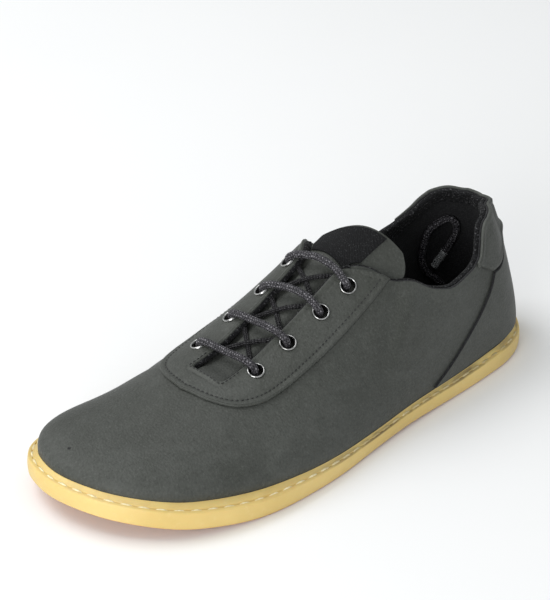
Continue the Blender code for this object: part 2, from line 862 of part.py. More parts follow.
def heel_counter(material):
    """Raised panel round the heel behind the diagonal seam."""
    cells = []
    start = COUNTER_SEAM[0, 0]
    places = spread(0.0, start, 9) + spread(start, COUNTER_SEAM[-1, 0], 6)[1:]
    low = COUNTER_LOW_H
    for side in SIDES:
        for w0, w1 in zip(places, places[1:]):
            for k in range(COUNTER_ROWS):
                shares = (k / COUNTER_ROWS, (k + 1) / COUNTER_ROWS)
                corners = []
                for w in (w0, w1):
                    high = max(counter_high(w, side), low + COUNTER_LEAST_H)
                    corners += [low + share * (high - low) for share in shares]
                cells.append(cell_between(w0, w1, *corners, side))
    return sheet_solid("heel_counter", cells, OVERLAY_CLEAR, OVERLAY_CLEAR + COUNTER_THICKNESS, material)


# tongue

TONGUE_COLUMNS = (-1.0, -0.75, -0.5, -0.25, 0.0, 0.25, 0.5, 0.75, 1.0)


def tongue_point(w, share, half):
    """Point of the tongue at a share of its half width; its top end is slanted."""
    distance = share * half
    slant = TONGUE_SLANT * share * max(0.0, (SLANT_END - w) / (SLANT_END - TONGUE[0, 0]))
    side = 1 if share >= 0 else -1
    h = h_at_distance(w - slant, side, abs(distance)) if share != 0 else 1.0
    return (w - slant, h, side)


def tongue(material):
    """Padded tongue under the throat, from behind the vamp to above the collar."""
    places = spread(TONGUE[0, 0], TONGUE[2, 0], 4) + spread(TONGUE[2, 0], TONGUE[-1, 0], 14)[1:]
    cells = []
    for w0, w1 in zip(places, places[1:]):
        half0 = float(read(TONGUE, 1, w0)) * THROAT_HALF_WIDTH
        half1 = float(read(TONGUE, 1, w1)) * THROAT_HALF_WIDTH
        for a, b in zip(TONGUE_COLUMNS, TONGUE_COLUMNS[1:]):
            cell = [
                tongue_point(w0, a, half0),
                tongue_point(w0, b, half0),
                tongue_point(w1, b, half1),
                tongue_point(w1, a, half1),
            ]
            cells.append(cell)
    high = -(WALL + TONGUE_CLEAR)
    return sheet_solid("tongue", cells, high - TONGUE_THICKNESS, high, material)


def tongue_label(material):
    """Woven patch in the throat, from the tongue's slanted top edge down to under the first bar."""
    start = TONGUE[1, 0]
    half = float(read(TONGUE, 1, start)) * THROAT_HALF_WIDTH
    columns = []
    for distance in spread(LABEL_SIDES[0] * THROAT_HALF_WIDTH, LABEL_SIDES[1] * THROAT_HALF_WIDTH, 5):
        top_w, _, side = tongue_point(start, distance / half, half)
        facing = FACING[side]
        edge_w = float(np.interp(-abs(distance) / THROAT_HALF_WIDTH, -facing[:, 1], facing[:, 0]))
        column = []
        for w in spread(top_w, min(LABEL_END, edge_w - LABEL_GAP), 3):
            h = h_at_distance(w, side, abs(distance)) if abs(distance) > CLEAR else 1.0
            column.append((w, h, side))
        columns.append(column)
    cells = []
    for first, second in zip(columns, columns[1:]):
        for k in range(len(first) - 1):
            cells.append([first[k], second[k], second[k + 1], first[k + 1]])
    low = -(WALL + TONGUE_CLEAR) + CLEAR
    return sheet_solid("tongue_label", cells, low, low + LABEL_THICKNESS, material)


# eyelets

EYELET_SIDES = 10
OVERLAY_TOP = OVERLAY_CLEAR + EYESTAY_THICKNESS
# how far the plug that cuts a hole reaches past the leather
HOLE_REACH = 0.0008


def eyelet_axes(number, side):
    """Centre on the eyestay's top and three axes of an eyelet, the last one along its hole."""
    w, share = EYELETS[side][number]
    h = h_at_distance(w, side, share * THROAT_HALF_WIDTH)
    centre = on_last(w, h, side, OVERLAY_TOP)
    axis = on_last(w, h, side, OVERLAY_TOP + 0.001) - centre
    axis /= np.linalg.norm(axis)
    first = np.cross(axis, (0.0, 1.0, 0.0))
    first /= np.linalg.norm(first)
    return centre, first, np.cross(axis, first), axis


def turned(number, side, profile):
    """Points and faces of a closed profile (radius, height) turned about an eyelet's axis."""
    centre, first, second, axis = eyelet_axes(number, side)
    verts = []
    faces = []
    count = len(profile)
    for i in range(EYELET_SIDES):
        angle = 2 * math.pi * i / EYELET_SIDES
        spoke = first * math.cos(angle) + second * math.sin(angle)
        verts += [centre + spoke * radius + axis * height for radius, height in profile]
        j = (i + 1) % EYELET_SIDES
        for k in range(count):
            m = (k + 1) % count
            faces.append([i * count + k, j * count + k, j * count + m, i * count + m])
    return verts, faces


def eyelet(name, number, side, material):
    """Metal ring on the eyestay with its barrel through the leather."""
    hole = EYELET_HOLE_RADIUS
    barrel = hole + EYELET_BARREL_WALL
    foot = -(OVERLAY_TOP + WALL)
    profile = (
        (hole, foot),
        (hole, CLEAR + EYELET_RIM_HEIGHT * 0.7),
        (0.5 * (hole + EYELET_RADIUS), CLEAR + EYELET_RIM_HEIGHT),
        (EYELET_RADIUS, CLEAR),
        (barrel, CLEAR),
        (barrel, foot),
    )
    verts, faces = turned(number, side, profile)
    return add_object(name, verts, faces, material)


def hole_cutter():
    """Eight plugs that cut the eyelets' holes."""
    verts = []
    faces = []
    radius = EYELET_HOLE_RADIUS + EYELET_BARREL_WALL + CLEAR
    for number in range(len(EYELETS[1])):
        for side in SIDES:
            centre, first, second, axis = eyelet_axes(number, side)
            base = len(verts)
            for height in (-(OVERLAY_TOP + WALL + HOLE_REACH), 2 * HOLE_REACH):
                for i in range(EYELET_SIDES):
                    angle = 2 * math.pi * i / EYELET_SIDES
                    spoke = first * math.cos(angle) + second * math.sin(angle)
                    verts.append(centre + spoke * radius + axis * height)
            low = list(range(base, base + EYELET_SIDES))
            high = [i + EYELET_SIDES for i in low]
            faces += [low[::-1], high]
            for i in range(EYELET_SIDES):
                j = (i + 1) % EYELET_SIDES
                faces.append([low[i], low[j], high[j], high[i]])
    return add_cutter("hole_cutter", verts, faces)


# lace

LACE_SIDES = 8
CROSS_SIDES = 6
BAR_SHARES = (-1.0, -0.75, -0.5, -0.2, 0.2, 0.5, 0.75, 1.0)
# height of a bar over the last where it rests on the eyelets and in the middle of the throat
BAR_END_LIFT = OVERLAY_TOP + EYELET_RIM_HEIGHT + LACE_DIAMETER / 2 + 4 * CLEAR
BAR_MIDDLE_LIFT = 0.0032
# crossings: thickness as a share of the lace's, height where they meet the bars and between them,
# the step from one to the other where they cross, and how far they reach towards the throat's edges
CROSS_SHARE = 0.8
CROSS_END_LIFT = 0.0014
CROSS_LIFT = -0.0006
CROSS_STEP = 0.0005
CROSS_REACH = 0.72


def tube(points, radius, sides):
    """Points and faces of a closed tube along a line of points."""
    points = [np.asarray(point, float) for point in points]
    verts = []
    faces = []
    up = np.array([0.0, 0.0, 1.0])
    for i, point in enumerate(points):
        ahead = points[min(i + 1, len(points) - 1)] - points[max(i - 1, 0)]
        ahead /= np.linalg.norm(ahead)
        across = np.cross(ahead, up)
        across /= np.linalg.norm(across)
        raised = np.cross(across, ahead)
        for k in range(sides):
            angle = 2 * math.pi * (k + 0.5) / sides
            verts.append(point + radius * (math.cos(angle) * across + math.sin(angle) * raised))
    for i in range(len(points) - 1):
        for k in range(sides):
            m = (k + 1) % sides
            faces.append([i * sides + k, i * sides + m, (i + 1) * sides + m, (i + 1) * sides + k])
    last_ring = (len(points) - 1) * sides
    faces += [list(range(sides))[::-1], [last_ring + k for k in range(sides)]]
    return verts, faces


def over_throat(w, distance, lift):
    """World point over the throat at a signed distance from the ridge."""
    side = 1 if distance >= 0 else -1
    h = h_at_distance(w, side, abs(distance)) if distance else 1.0
    return on_last(w, h, side, lift)


def lace(material):
    """Four bars over the throat and the crossings under them, joined into one solid."""
    radius = LACE_DIAMETER / 2
    parts = []
    for (w1, share1), (w2, share2) in zip(EYELETS[1], EYELETS[-1]):
        bar = []
        for share in BAR_SHARES:
            rise = abs(share) ** 1.5
            lift = BAR_MIDDLE_LIFT + (BAR_END_LIFT - BAR_MIDDLE_LIFT) * rise
            w = w1 + (w2 - w1) * (1 - share) / 2
            distance = share * (share1 if share > 0 else share2) * THROAT_HALF_WIDTH
            bar.append(over_throat(w, distance, lift))
        parts.append(tube(bar, radius, LACE_SIDES))
    for number in range(len(EYELETS[1]) - 1):
        for side in SIDES:
            start = (EYELETS[side][number][0], side * CROSS_REACH * FACING[side][-1, 1])
            end = (EYELETS[-side][number + 1][0], -side * CROSS_REACH * FACING[-side][-1, 1])
            line = []
            for t in spread(0.0, 1.0, 4):
                w = start[0] + (end[0] - start[0]) * t
                distance = (start[1] + (end[1] - start[1]) * t) * THROAT_HALF_WIDTH
                lift = CROSS_LIFT + (CROSS_END_LIFT - CROSS_LIFT) * abs(1 - 2 * t) ** 2
                line.append(over_throat(w, distance, lift + side * CROSS_STEP * math.sin(math.pi * t)))
            parts.append(tube(line, CROSS_SHARE * radius, CROSS_SIDES))
    whole = add_object("lace", *parts[0], material)
    for i, part in enumerate(parts[1:]):
        cut(whole, add_cutter("lace_part_%d" % i, *part), "UNION")
    return whole


def smooth_route(points, spacing):
    """Evenly spaced points on a smooth curve through chosen points."""
    points = np.array(points)
    run = np.concatenate([[0.0], np.cumsum(np.linalg.norm(np.diff(points, axis=0), axis=1))])
    slopes = np.empty_like(points)
    slopes[1:-1] = (points[2:] - points[:-2]) / (run[2:] - run[:-2])[:, None]
    slopes[0] = (points[1] - points[0]) / (run[1] - run[0])
    slopes[-1] = (points[-1] - points[-2]) / (run[-1] - run[-2])
    at = np.linspace(0.0, run[-1], max(3, int(round(run[-1] / spacing)) + 1))
    i = np.clip(np.searchsorted(run, at, side="right") - 1, 0, len(run) - 2)
    span = (run[i + 1] - run[i])[:, None]
    t = ((at - run[i]) / span[:, 0])[:, None]
    line = (2 * t**3 - 3 * t**2 + 1) * points[i] + (t**3 - 2 * t**2 + t) * span * slopes[i]
    return line + (3 * t**2 - 2 * t**3) * points[i + 1] + (t**3 - t**2) * span * slopes[i + 1]


def lace_end(name, route, material):
    """Free end of the lace as a round cord."""
    line = smooth_route(route, 2 * LACE_DIAMETER)
    curve = bpy.data.curves.new(name, "CURVE")
    curve.dimensions = "3D"
    curve.bevel_depth = LACE_DIAMETER / 2
    curve.bevel_resolution = 2
    curve.use_fill_caps = True
    spline = curve.splines.new("POLY")
    spline.points.add(len(line) - 1)
    for point, place_at in zip(spline.points, line):
        point.co = (*place_at, 1.0)
    curve.materials.append(material)
    obj = bpy.data.objects.new(name, curve)
    bpy.context.scene.collection.objects.link(obj)


def main():
    """Build the shoe."""
    for obj in list(bpy.data.objects):
        bpy.data.objects.remove(obj, do_unlink=True)
    gum = make_material("gum_rubber", (0.68, 0.50, 0.20), 0.5)
    leather = make_material("leather", (0.085, 0.088, 0.080), 0.6)
    lining = make_material("lining", (0.015, 0.015, 0.015), 0.9)
    webbing = make_material("webbing", (0.02, 0.02, 0.022), 0.9)
    metal = make_material("eyelet_metal", (0.70, 0.70, 0.70), 0.3, 1.0)
    cord = make_material("waxed_cord", (0.06, 0.06, 0.065), 0.6)
    holes = hole_cutter()
    outsole(gum)
    insole(lining)
    cut(upper(leather), holes)
    cut(eyestay(leather), holes)
    heel_counter(leather)
    heel_tab(leather)
    tongue(leather)
    tongue_label(webbing)
    for side in SIDES:
        for number in range(len(EYELETS[side])):
            name = "eyelet_%s_%d" % ("lateral" if side > 0 else "medial", number + 1)
            eyelet(name, number, side, metal)
    lace(cord)
    lace_end("lace_end", LACE_END, cord)


main()
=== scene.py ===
"""Looks of the left barefoot shoe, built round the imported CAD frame.

Every soft piece follows the same surface as the solids, the last: w runs from 0 at the heel's back
to 1 at the toe's tip, h runs up a rib from 0 at the sole to 1 on the ridge line, and side is +1 for
the outer (lateral) half and -1 for the inner (medial) half. Metres, +Z up, the toe towards -Y.
"""

import math

import bmesh
import bpy
import numpy as np
from mathutils import Matrix, Vector
from mathutils.kdtree import KDTree


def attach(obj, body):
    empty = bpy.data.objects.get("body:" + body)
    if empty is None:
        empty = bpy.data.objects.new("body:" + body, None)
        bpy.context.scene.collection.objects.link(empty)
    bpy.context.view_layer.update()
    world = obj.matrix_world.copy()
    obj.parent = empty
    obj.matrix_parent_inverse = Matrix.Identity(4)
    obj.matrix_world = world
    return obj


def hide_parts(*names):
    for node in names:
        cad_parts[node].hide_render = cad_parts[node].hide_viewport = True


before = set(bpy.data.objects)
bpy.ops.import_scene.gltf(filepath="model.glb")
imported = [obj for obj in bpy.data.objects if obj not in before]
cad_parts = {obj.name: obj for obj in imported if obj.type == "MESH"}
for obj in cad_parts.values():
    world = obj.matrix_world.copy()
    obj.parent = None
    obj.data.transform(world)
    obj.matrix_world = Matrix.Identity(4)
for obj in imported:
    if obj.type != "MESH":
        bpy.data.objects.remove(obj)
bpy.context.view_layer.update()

# sizes of the part
LENGTH = 0.285
BALL_WIDTH = 0.108
INSTEP_HEIGHT = 0.075
HEEL_HEIGHT = 0.075
SIDE_WALL = 0.0092
TOE_SPRING = 0.010
CUP_FLOOR = 0.0045
LEDGE = 0.0068
LEDGE_RISE = 0.0020
RIM_ROUND = 0.0008
EDGE_CHAMFER = 0.0012
GROOVE_DEPTH = 0.0009
TREAD_DEPTH = 0.0012
TREAD_WIDTH = 0.0030
INSOLE_THICKNESS = 0.0030
WALL = 0.0020
EYESTAY_THICKNESS = 0.0013
COUNTER_THICKNESS = 0.0010
TAB_THICKNESS = 0.0013
TONGUE_THICKNESS = 0.0030
LABEL_THICKNESS = 0.0008
THROAT_HALF_WIDTH = 0.0110
EYELET_RADIUS = 0.0042
EYELET_HOLE_RADIUS = 0.0032
EYELET_RIM_HEIGHT = 0.0009
EYELET_BARREL_WALL = 0.0004
LACE_DIAMETER = 0.0036
CLEAR = 0.0003
OVERLAY_CLEAR = 0.0004
TONGUE_CLEAR = 0.0008
SIDES = (1, -1)

# sole's outline: share of the length, outer and inner reach as shares of the ball width
OUTLINE = np.array([
    (0.018, 0.170, 0.130),
    (0.053, 0.275, 0.240),
    (0.105, 0.338, 0.295),
    (0.175, 0.368, 0.310),
    (0.280, 0.392, 0.318),
    (0.385, 0.415, 0.330),
    (0.490, 0.450, 0.370),
    (0.595, 0.490, 0.435),
    (0.700, 0.500, 0.485),
    (0.770, 0.480, 0.502),
    (0.840, 0.430, 0.508),
    (0.900, 0.350, 0.482),
    (0.950, 0.225, 0.415),
    (0.983, 0.080, 0.310),
])
HEEL_MIDDLE = 0.020
TOE_MIDDLE = -0.125
# underside: share of the length, height as a share of the toe spring
UNDERSIDE = np.array([
    (0.00, 0.12),
    (0.05, 0.00),
    (0.22, 0.00),
    (0.40, 0.10),
    (0.56, 0.00),
    (0.74, 0.00),
    (0.86, 0.30),
    (1.00, 1.00),
])
# share of the length, shares of the side wall's height and of the ledge's width
WALL_AND_LEDGE = np.array([
    (0.00, 0.93, 0.44),
    (0.10, 0.98, 0.53),
    (0.30, 0.83, 0.41),
    (0.45, 0.75, 0.30),
    (0.60, 0.88, 0.46),
    (0.80, 1.00, 1.00),
    (1.00, 0.98, 0.66),
])
# ridge line: share of the length, sideways place by ball width, height by instep height
RIDGE = np.array([
    (0.115, -0.010, 1.300),
    (0.200, -0.010, 1.345),
    (0.300, -0.028, 1.270),
    (0.400, -0.050, 1.105),
    (0.470, -0.055, 0.940),
    (0.560, -0.055, 0.749),
    (0.650, -0.055, 0.602),
    (0.740, -0.065, 0.525),
    (0.825, -0.075, 0.467),
])
# ribs: w, then lean, rise and fullness for the outer and for the inner half
RIBS = np.array([
    (0.00, 0.018, 0.36, 0.31, 0.018, 0.36, 0.31),
    (0.04, 0.013, 0.345, 0.43, 0.017, 0.352, 0.43),
    (0.10, 0.005, 0.32, 0.28, 0.014, 0.34, 0.50),
    (0.20, 0.005, 0.34, 0.46, 0.018, 0.35, 0.72),
    (0.35, 0.028, 0.29, 0.54, 0.028, 0.43, 1.02),
    (0.50, 0.028, 0.16, 0.45, 0.037, 0.40, 0.88),
    (0.65, 0.037, 0.13, 0.46, 0.037, 0.29, 0.68),
    (0.80, 0.028, 0.13, 0.56, 0.028, 0.19, 0.68),
    (0.90, 0.018, 0.13, 0.60, 0.028, 0.20, 0.74),
    (1.00, 0.018, 0.13, 0.64, 0.018, 0.13, 0.64),
])
W_HEEL = 0.20
W_TOE = 0.80
# collar: w, height by heel height on the outer and on the inner half
COLLAR = np.array([
    (0.00, 0.984, 0.984),
    (0.03, 0.986, 0.986),
    (0.06, 0.995, 0.995),
    (0.12, 1.000, 1.000),
    (0.19, 1.000, 0.975),
    (0.21, 0.980, 0.930),
    (0.22, 0.945, 0.885),
    (0.23, 0.870, 0.855),
    (0.24, 0.795, 0.830),
    (0.26, 0.755, 0.790),
    (0.30, 0.725, 0.745),
    (0.34, 0.765, 0.765),
    (0.38, 0.865, 0.840),
])
# throat's edge: w, distance from the ridge by the throat's half width
FACING = {
    1: np.array([
        (0.410, 2.40),
        (0.430, 1.80),
        (0.450, 1.32),
        (0.470, 1.05),
        (0.500, 1.00),
        (0.690, 1.00),
    ]),
    -1: np.array([
        (0.410, 2.40),
        (0.430, 1.88),
        (0.450, 1.40),
        (0.462, 1.05),
        (0.476, 0.76),
        (0.500, 0.70),
        (0.690, 0.70),
    ]),
}
W_THROAT = 0.69
# eyestay: w and distance of the inner edge, w and distance of the outer edge
EYESTAY = {
    1: np.array([
        (0.468, 1.06, 0.412, 2.34),
        (0.490, 1.00, 0.445, 2.50),
        (0.530, 1.00, 0.510, 2.66),
        (0.570, 1.00, 0.565, 2.76),
        (0.610, 1.00, 0.615, 2.80),
        (0.650, 1.00, 0.655, 2.74),
        (0.680, 1.00, 0.690, 2.45),
        (0.690, 0.80, 0.712, 1.90),
        (0.690, 0.40, 0.726, 1.00),
        (0.690, 0.00, 0.732, 0.00),
    ]),
    -1: np.array([
        (0.474, 0.84, 0.412, 2.34),
        (0.496, 0.71, 0.445, 2.50),
        (0.530, 0.70, 0.510, 2.66),
        (0.570, 0.70, 0.565, 2.76),
        (0.610, 0.70, 0.615, 2.80),
        (0.650, 0.70, 0.655, 2.74),
        (0.680, 0.70, 0.690, 2.45),
        (0.690, 0.56, 0.712, 1.90),
        (0.690, 0.28, 0.726, 1.00),
        (0.690, 0.00, 0.732, 0.00),
    ]),
}
# lower edge of the heel tab and front edge of the counter: w, height by heel height
TAB_EDGE = np.array([
    (0.000, 0.790),
    (0.080, 0.765),
    (0.150, 0.715),
    (0.190, 0.675),
    (0.212, 0.668),
    (0.230, 0.710),
    (0.247, 0.760),
])
COUNTER_SEAM = np.array([
    (0.212, 0.655),
    (0.226, 0.575),
    (0.252, 0.482),
    (0.291, 0.372),
    (0.330, 0.264),
    (0.372, 0.160),
])
# tongue: w, half width by the throat's half width
TONGUE = np.array([
    (0.415, 2.05),
    (0.418, 2.32),
    (0.424, 2.48),
    (0.500, 2.40),
    (0.600, 2.10),
    (0.690, 1.80),
    (0.720, 1.60),
])
TONGUE_SLANT = 0.0370
SLANT_END = 0.58
# eyelets' places: w, distance by the throat's half width
EYELETS = {
    1: ((0.471, 1.68), (0.521, 1.62), (0.582, 1.57), (0.641, 1.52)),
    -1: ((0.489, 1.17), (0.539, 1.21), (0.590, 1.50), (0.649, 1.60)),
}
LABEL_SIDES = (-1.15, 1.45)
LABEL_END = 0.462
LABEL_GAP = 0.007
# flex grooves: share of the length, half width and middle as shares of the ball width
TREAD = np.array([
    (0.070, 0.150, 0.02),
    (0.120, 0.200, 0.03),
    (0.170, 0.220, 0.03),
    (0.580, 0.340, 0.03),
    (0.635, 0.370, 0.01),
    (0.690, 0.380, 0.00),
    (0.745, 0.370, -0.02),
    (0.800, 0.330, -0.04),
])
TREAD_TURN = math.radians(-9)
# route of the lace's free end
LACE_END = (
    (0.0140, 0.0450, 0.0655),
    (0.0215, 0.0500, 0.0600),
    (0.0275, 0.0570, 0.0500),
    (0.0318, 0.0640, 0.0360),
    (0.0335, 0.0710, 0.0220),
    (0.0300, 0.0790, 0.0125),
    (0.0200, 0.0880, 0.0102),
    (0.0060, 0.1000, 0.0102),
    (-0.0060, 0.1120, 0.0102),
    (-0.0130, 0.1195, 0.0116),
    (-0.0175, 0.1235, 0.0155),
    (-0.0205, 0.1200, 0.0203),
    (-0.0225, 0.1150, 0.0255),
    (-0.0228, 0.1116, 0.0335),
    (-0.0218, 0.1114, 0.0420),
    (-0.0203, 0.1123, 0.0495),
    (-0.0184, 0.1150, 0.0533),
    (-0.0161, 0.1180, 0.0556),
    (-0.0137, 0.1206, 0.0568),
    (-0.0118, 0.1230, 0.0542),
    (-0.0121, 0.1241, 0.0487),
    (-0.0143, 0.1235, 0.0425),
    (-0.0170, 0.1219, 0.0362),
    (-0.0196, 0.1199, 0.0303),
    (-0.0207, 0.1187, 0.0275),
)


def spread(first, last, count):
    """Evenly spaced values from first to last, both included."""
    return [first + (last - first) * i / count for i in range(count + 1)]


def bell(offset, width):
    """One at no offset, falling to nothing on both sides."""
    return np.exp(-((offset / width) ** 2))


def fall(value, middle, steepness):
    """One well below the middle, falling softly to nothing above it."""
    return 1 / (1 + np.exp((value - middle) * steepness))


def run_along(points):
    """Length along a line up to each of its points."""
    return np.concatenate([[0.0], np.cumsum(np.linalg.norm(np.diff(points, axis=0), axis=1))])


def hermite(t, span, start, end, leaving, arriving):
    """Smooth step from start to end with given slopes, while t runs from 0 to 1 over the span."""
    line = (2 * t**3 - 3 * t**2 + 1) * start + (t**3 - 2 * t**2 + t) * span * leaving
    return line + (3 * t**2 - 2 * t**3) * end + (t**3 - t**2) * span * arriving


def slopes_of(xs, ys):
    """Slopes of a smooth curve through points that never overshoots."""
    rates = np.diff(ys) / np.diff(xs)
    slopes = np.empty_like(ys)
    slopes[0] = rates[0]
    slopes[-1] = rates[-1]
    for i in range(1, len(xs) - 1):
        if rates[i - 1] * rates[i] <= 0:
            slopes[i] = 0.0
        else:
            slopes[i] = 2 * rates[i - 1] * rates[i] / (rates[i - 1] + rates[i])
    return slopes


SLOPE_CACHE = {}


def read(table, column, at):
    """Value of a table's column at a place in its first column."""
    key = (id(table), column)
    xs = table[:, 0]
    ys = table[:, column]
    if key not in SLOPE_CACHE:
        # the table stays with its slopes, so that no later table gets its id
        SLOPE_CACHE[key] = (table, slopes_of(xs, ys))
    slopes = SLOPE_CACHE[key][1]
    at = np.clip(np.asarray(at, float), xs[0], xs[-1])
    i = np.clip(np.searchsorted(xs, at, side="right") - 1, 0, len(xs) - 2)
    step = xs[i + 1] - xs[i]
    return hermite((at - xs[i]) / step, step, ys[i], ys[i + 1], slopes[i], slopes[i + 1])


OUTLINE_POINTS = 401


def outline(side):
    """Dense edge line of the sole on one side, rows of (x, distance from the heel's back)."""
    own = 1 if side > 0 else 2
    other = 3 - own
    points = [(-side * OUTLINE[0, other] * BALL_WIDTH, OUTLINE[0, 0] * LENGTH)]
    points.append((HEEL_MIDDLE * BALL_WIDTH, 0.0))
    for row in OUTLINE:
        points.append((side * row[own] * BALL_WIDTH, row[0] * LENGTH))
    points.append((TOE_MIDDLE * BALL_WIDTH, LENGTH))
    points.append((-side * OUTLINE[-1, other] * BALL_WIDTH, OUTLINE[-1, 0] * LENGTH))
    points = np.array(points)
    run = run_along(points)
    at = np.linspace(run[1], run[-2], OUTLINE_POINTS)
    chord = (points[2:] - points[:-2]) / (run[2:] - run[:-2])[:, None]
    slopes = np.vstack([chord[:1], chord, chord[-1:]])
    i = np.clip(np.searchsorted(run, at, side="right") - 1, 1, len(run) - 3)
    span = (run[i + 1] - run[i])[:, None]
    t = ((at - run[i]) / span[:, 0])[:, None]
    return hermite(t, span, points[i], points[i + 1], slopes[i], slopes[i + 1])


def outward(line, side):
    """Unit normals of an edge line, pointing away from the foot."""
    run = np.gradient(line, axis=0)
    run[0] = (side, 0.0)
    run[-1] = (-side, 0.0)
    run /= np.linalg.norm(run, axis=1)[:, None]
    return np.stack([run[:, 1], -run[:, 0]], axis=1) * side


def ledge_width(s):
    """Width of the ledge between the sole's rim and the upper."""
    return LEDGE * read(WALL_AND_LEDGE, 2, s / LENGTH)


def underside(s):
    """Height of the sole's underside above the floor."""
    return TOE_SPRING * read(UNDERSIDE, 1, s / LENGTH)


def rim(s):
    """Height of the sole's rim above the floor."""
    return underside(s) + SIDE_WALL * read(WALL_AND_LEDGE, 1, s / LENGTH)


EDGE = {side: outline(side) for side in SIDES}
EDGE_OUT = {side: outward(EDGE[side], side) for side in SIDES}
FOOT = {side: EDGE[side] - EDGE_OUT[side] * ledge_width(EDGE[side][:, 1])[:, None] for side in SIDES}
MIDDLE_X = 0.5 * (EDGE[1][:, 0].max() + EDGE[-1][:, 0].min())
MIDDLE_S = 0.5 * LENGTH


def to_world(points):
    """Points (x, distance from the heel's back, height) in the world's axes."""
    points = np.asarray(points, float)
    return np.stack([points[..., 0] - MIDDLE_X, MIDDLE_S - points[..., 1], points[..., 2]], axis=-1)


def ridge(s):
    """Sideways place and height of the ridge line."""
    share = s / LENGTH
    return BALL_WIDTH * read(RIDGE, 1, share), INSTEP_HEIGHT * read(RIDGE, 2, share)


def rib(w, side):
    """Plan point on the ridge, ridge height, direction and foot point of a rib."""
    heel_s = RIDGE[0, 0] * LENGTH
    toe_s = RIDGE[-1, 0] * LENGTH
    line = FOOT[side]
    across = np.array([side, 0.0])
    s = heel_s + (toe_s - heel_s) * np.clip((w - W_HEEL) / (W_TOE - W_HEEL), 0.0, 1.0)
    x, height = ridge(s)
    root = np.array([x, s])
    if W_HEEL <= w <= W_TOE:
        direction = across
    else:
        end = line[0] if w < W_HEEL else line[-1]
        share = w / W_HEEL if w < W_HEEL else (1.0 - w) / (1.0 - W_TOE)
        first = (end - root) / np.linalg.norm(end - root)
        total = math.acos(float(np.clip(first @ across, -1.0, 1.0)))
        turn = total * share
        direction = (math.sin(total - turn) * first + math.sin(turn) * across) / math.sin(total)
    offset = line - root
    miss = offset[:, 0] * direction[1] - offset[:, 1] * direction[0]
    ahead = offset @ direction > 0
    crossings = np.nonzero((miss[:-1] * miss[1:] <= 0) & ahead[:-1] & ahead[1:])[0]
    if len(crossings) == 0:
        return root, height, direction, line[0] if w < W_HEEL else line[-1]
    i = crossings[0]
    share = miss[i] / (miss[i] - miss[i + 1]) if miss[i] != miss[i + 1] else 0.0
    return root, height, direction, line[i] + share * (line[i + 1] - line[i])


# step over which the ridge's slope is taken, as a share of the length
SLOPE_STEP = 0.004


def rib_curve(w, side):
    """Root, direction and the four control points (distance from the ridge, height) of a rib."""
    root, height, direction, foot = rib(w, side)
    first = 1 if side > 0 else 4
    lean = read(RIBS, first, w) * BALL_WIDTH
    rise = read(RIBS, first + 1, w) * INSTEP_HEIGHT
    full = read(RIBS, first + 2, w)
    reach = np.linalg.norm(foot - root)
    start = rim(foot[1]) + LEDGE_RISE
    step = SLOPE_STEP * LENGTH
    slope = (ridge(root[1] + step)[1] - ridge(root[1] - step)[1]) / (2 * step)
    if w < W_HEEL:
        slope = 0.0
    if w > W_TOE:
        slope = (ridge(root[1])[1] - ridge(root[1] - step)[1]) / step
    shoulder = height + slope * direction[1] * reach * full
    widest = (reach + lean, start + rise)
    return root, direction, np.array([(reach, start), widest, (reach * full, shoulder), (0.0, height)])


# the last as a dense grid of points and normals, read with straight interpolation
GRID_W = np.linspace(0.0, 1.0, 401)
GRID_H = np.linspace(0.0, 1.0, 161)


def last_grid(side):
    """Points (x, s, z) of the last, one row a rib."""
    h = GRID_H[:, None]
    weights = np.hstack([(1 - h) ** 3, 3 * (1 - h) ** 2 * h, 3 * (1 - h) * h**2, h**3])
    rows = []
    for w in GRID_W:
        root, direction, control = rib_curve(w, side)
        curve = weights @ control
        plan = root + curve[:, :1] * direction
        rows.append(np.hstack([plan, curve[:, 1:]]))
    return np.array(rows)


LAST = {side: last_grid(side) for side in SIDES}
for rib_number in (0, -1):
    LAST[-1][rib_number] = LAST[1][rib_number]
LAST[-1][:, -1] = LAST[1][:, -1]


def grid_normals(side):
    """Unit normals of the last, pointing out of the foot."""
    points = LAST[side]
    other = LAST[-side]
    along = np.gradient(points, axis=0)
    along[0] = points[1] - other[1]
    along[-1] = other[-2] - points[-2]
    up = np.gradient(points, axis=1)
    normals = np.cross(along, up) * side
    normals[:, -1] = normals[:, -2]
    return normals / np.linalg.norm(normals, axis=-1)[..., None]


NORMALS = {side: grid_normals(side) for side in SIDES}


def grid_read(grid, w, h):
    """Values of a grid at arrays of w and h."""
    i = np.clip(w, 0.0, 1.0) * (len(GRID_W) - 1)
    j = np.clip(h, 0.0, 1.0) * (len(GRID_H) - 1)
    i0 = np.minimum(i.astype(int), len(GRID_W) - 2)
    j0 = np.minimum(j.astype(int), len(GRID_H) - 2)
    u = (i - i0)[..., None]
    v = (j - j0)[..., None]
    low = grid[i0, j0] * (1 - v) + grid[i0, j0 + 1] * v
    high = grid[i0 + 1, j0] * (1 - v) + grid[i0 + 1, j0 + 1] * v
    return low * (1 - u) + high * u


def row_at(w, side):
    """One rib of the last at any w."""
    return grid_read(LAST[side], np.full(len(GRID_H), w), GRID_H)


def h_at_height(w, side, height):
    """Where a rib reaches a height."""
    return float(np.interp(height, np.maximum.accumulate(row_at(w, side)[:, 2]), GRID_H))


# the rib's lower part, which leans out and back, is left out where a distance is looked up
SHOULDER_H = 0.35


def h_at_distance(w, side, distance):
    """Where a rib comes to a sideways distance from the ridge."""
    if distance <= 0:
        return 1.0
    row = row_at(w, side)
    reach = np.linalg.norm(row[:, :2] - row[-1, :2], axis=1)
    start = int(SHOULDER_H * len(GRID_H))
    return float(np.interp(-distance, -reach[start:], GRID_H[start:]))


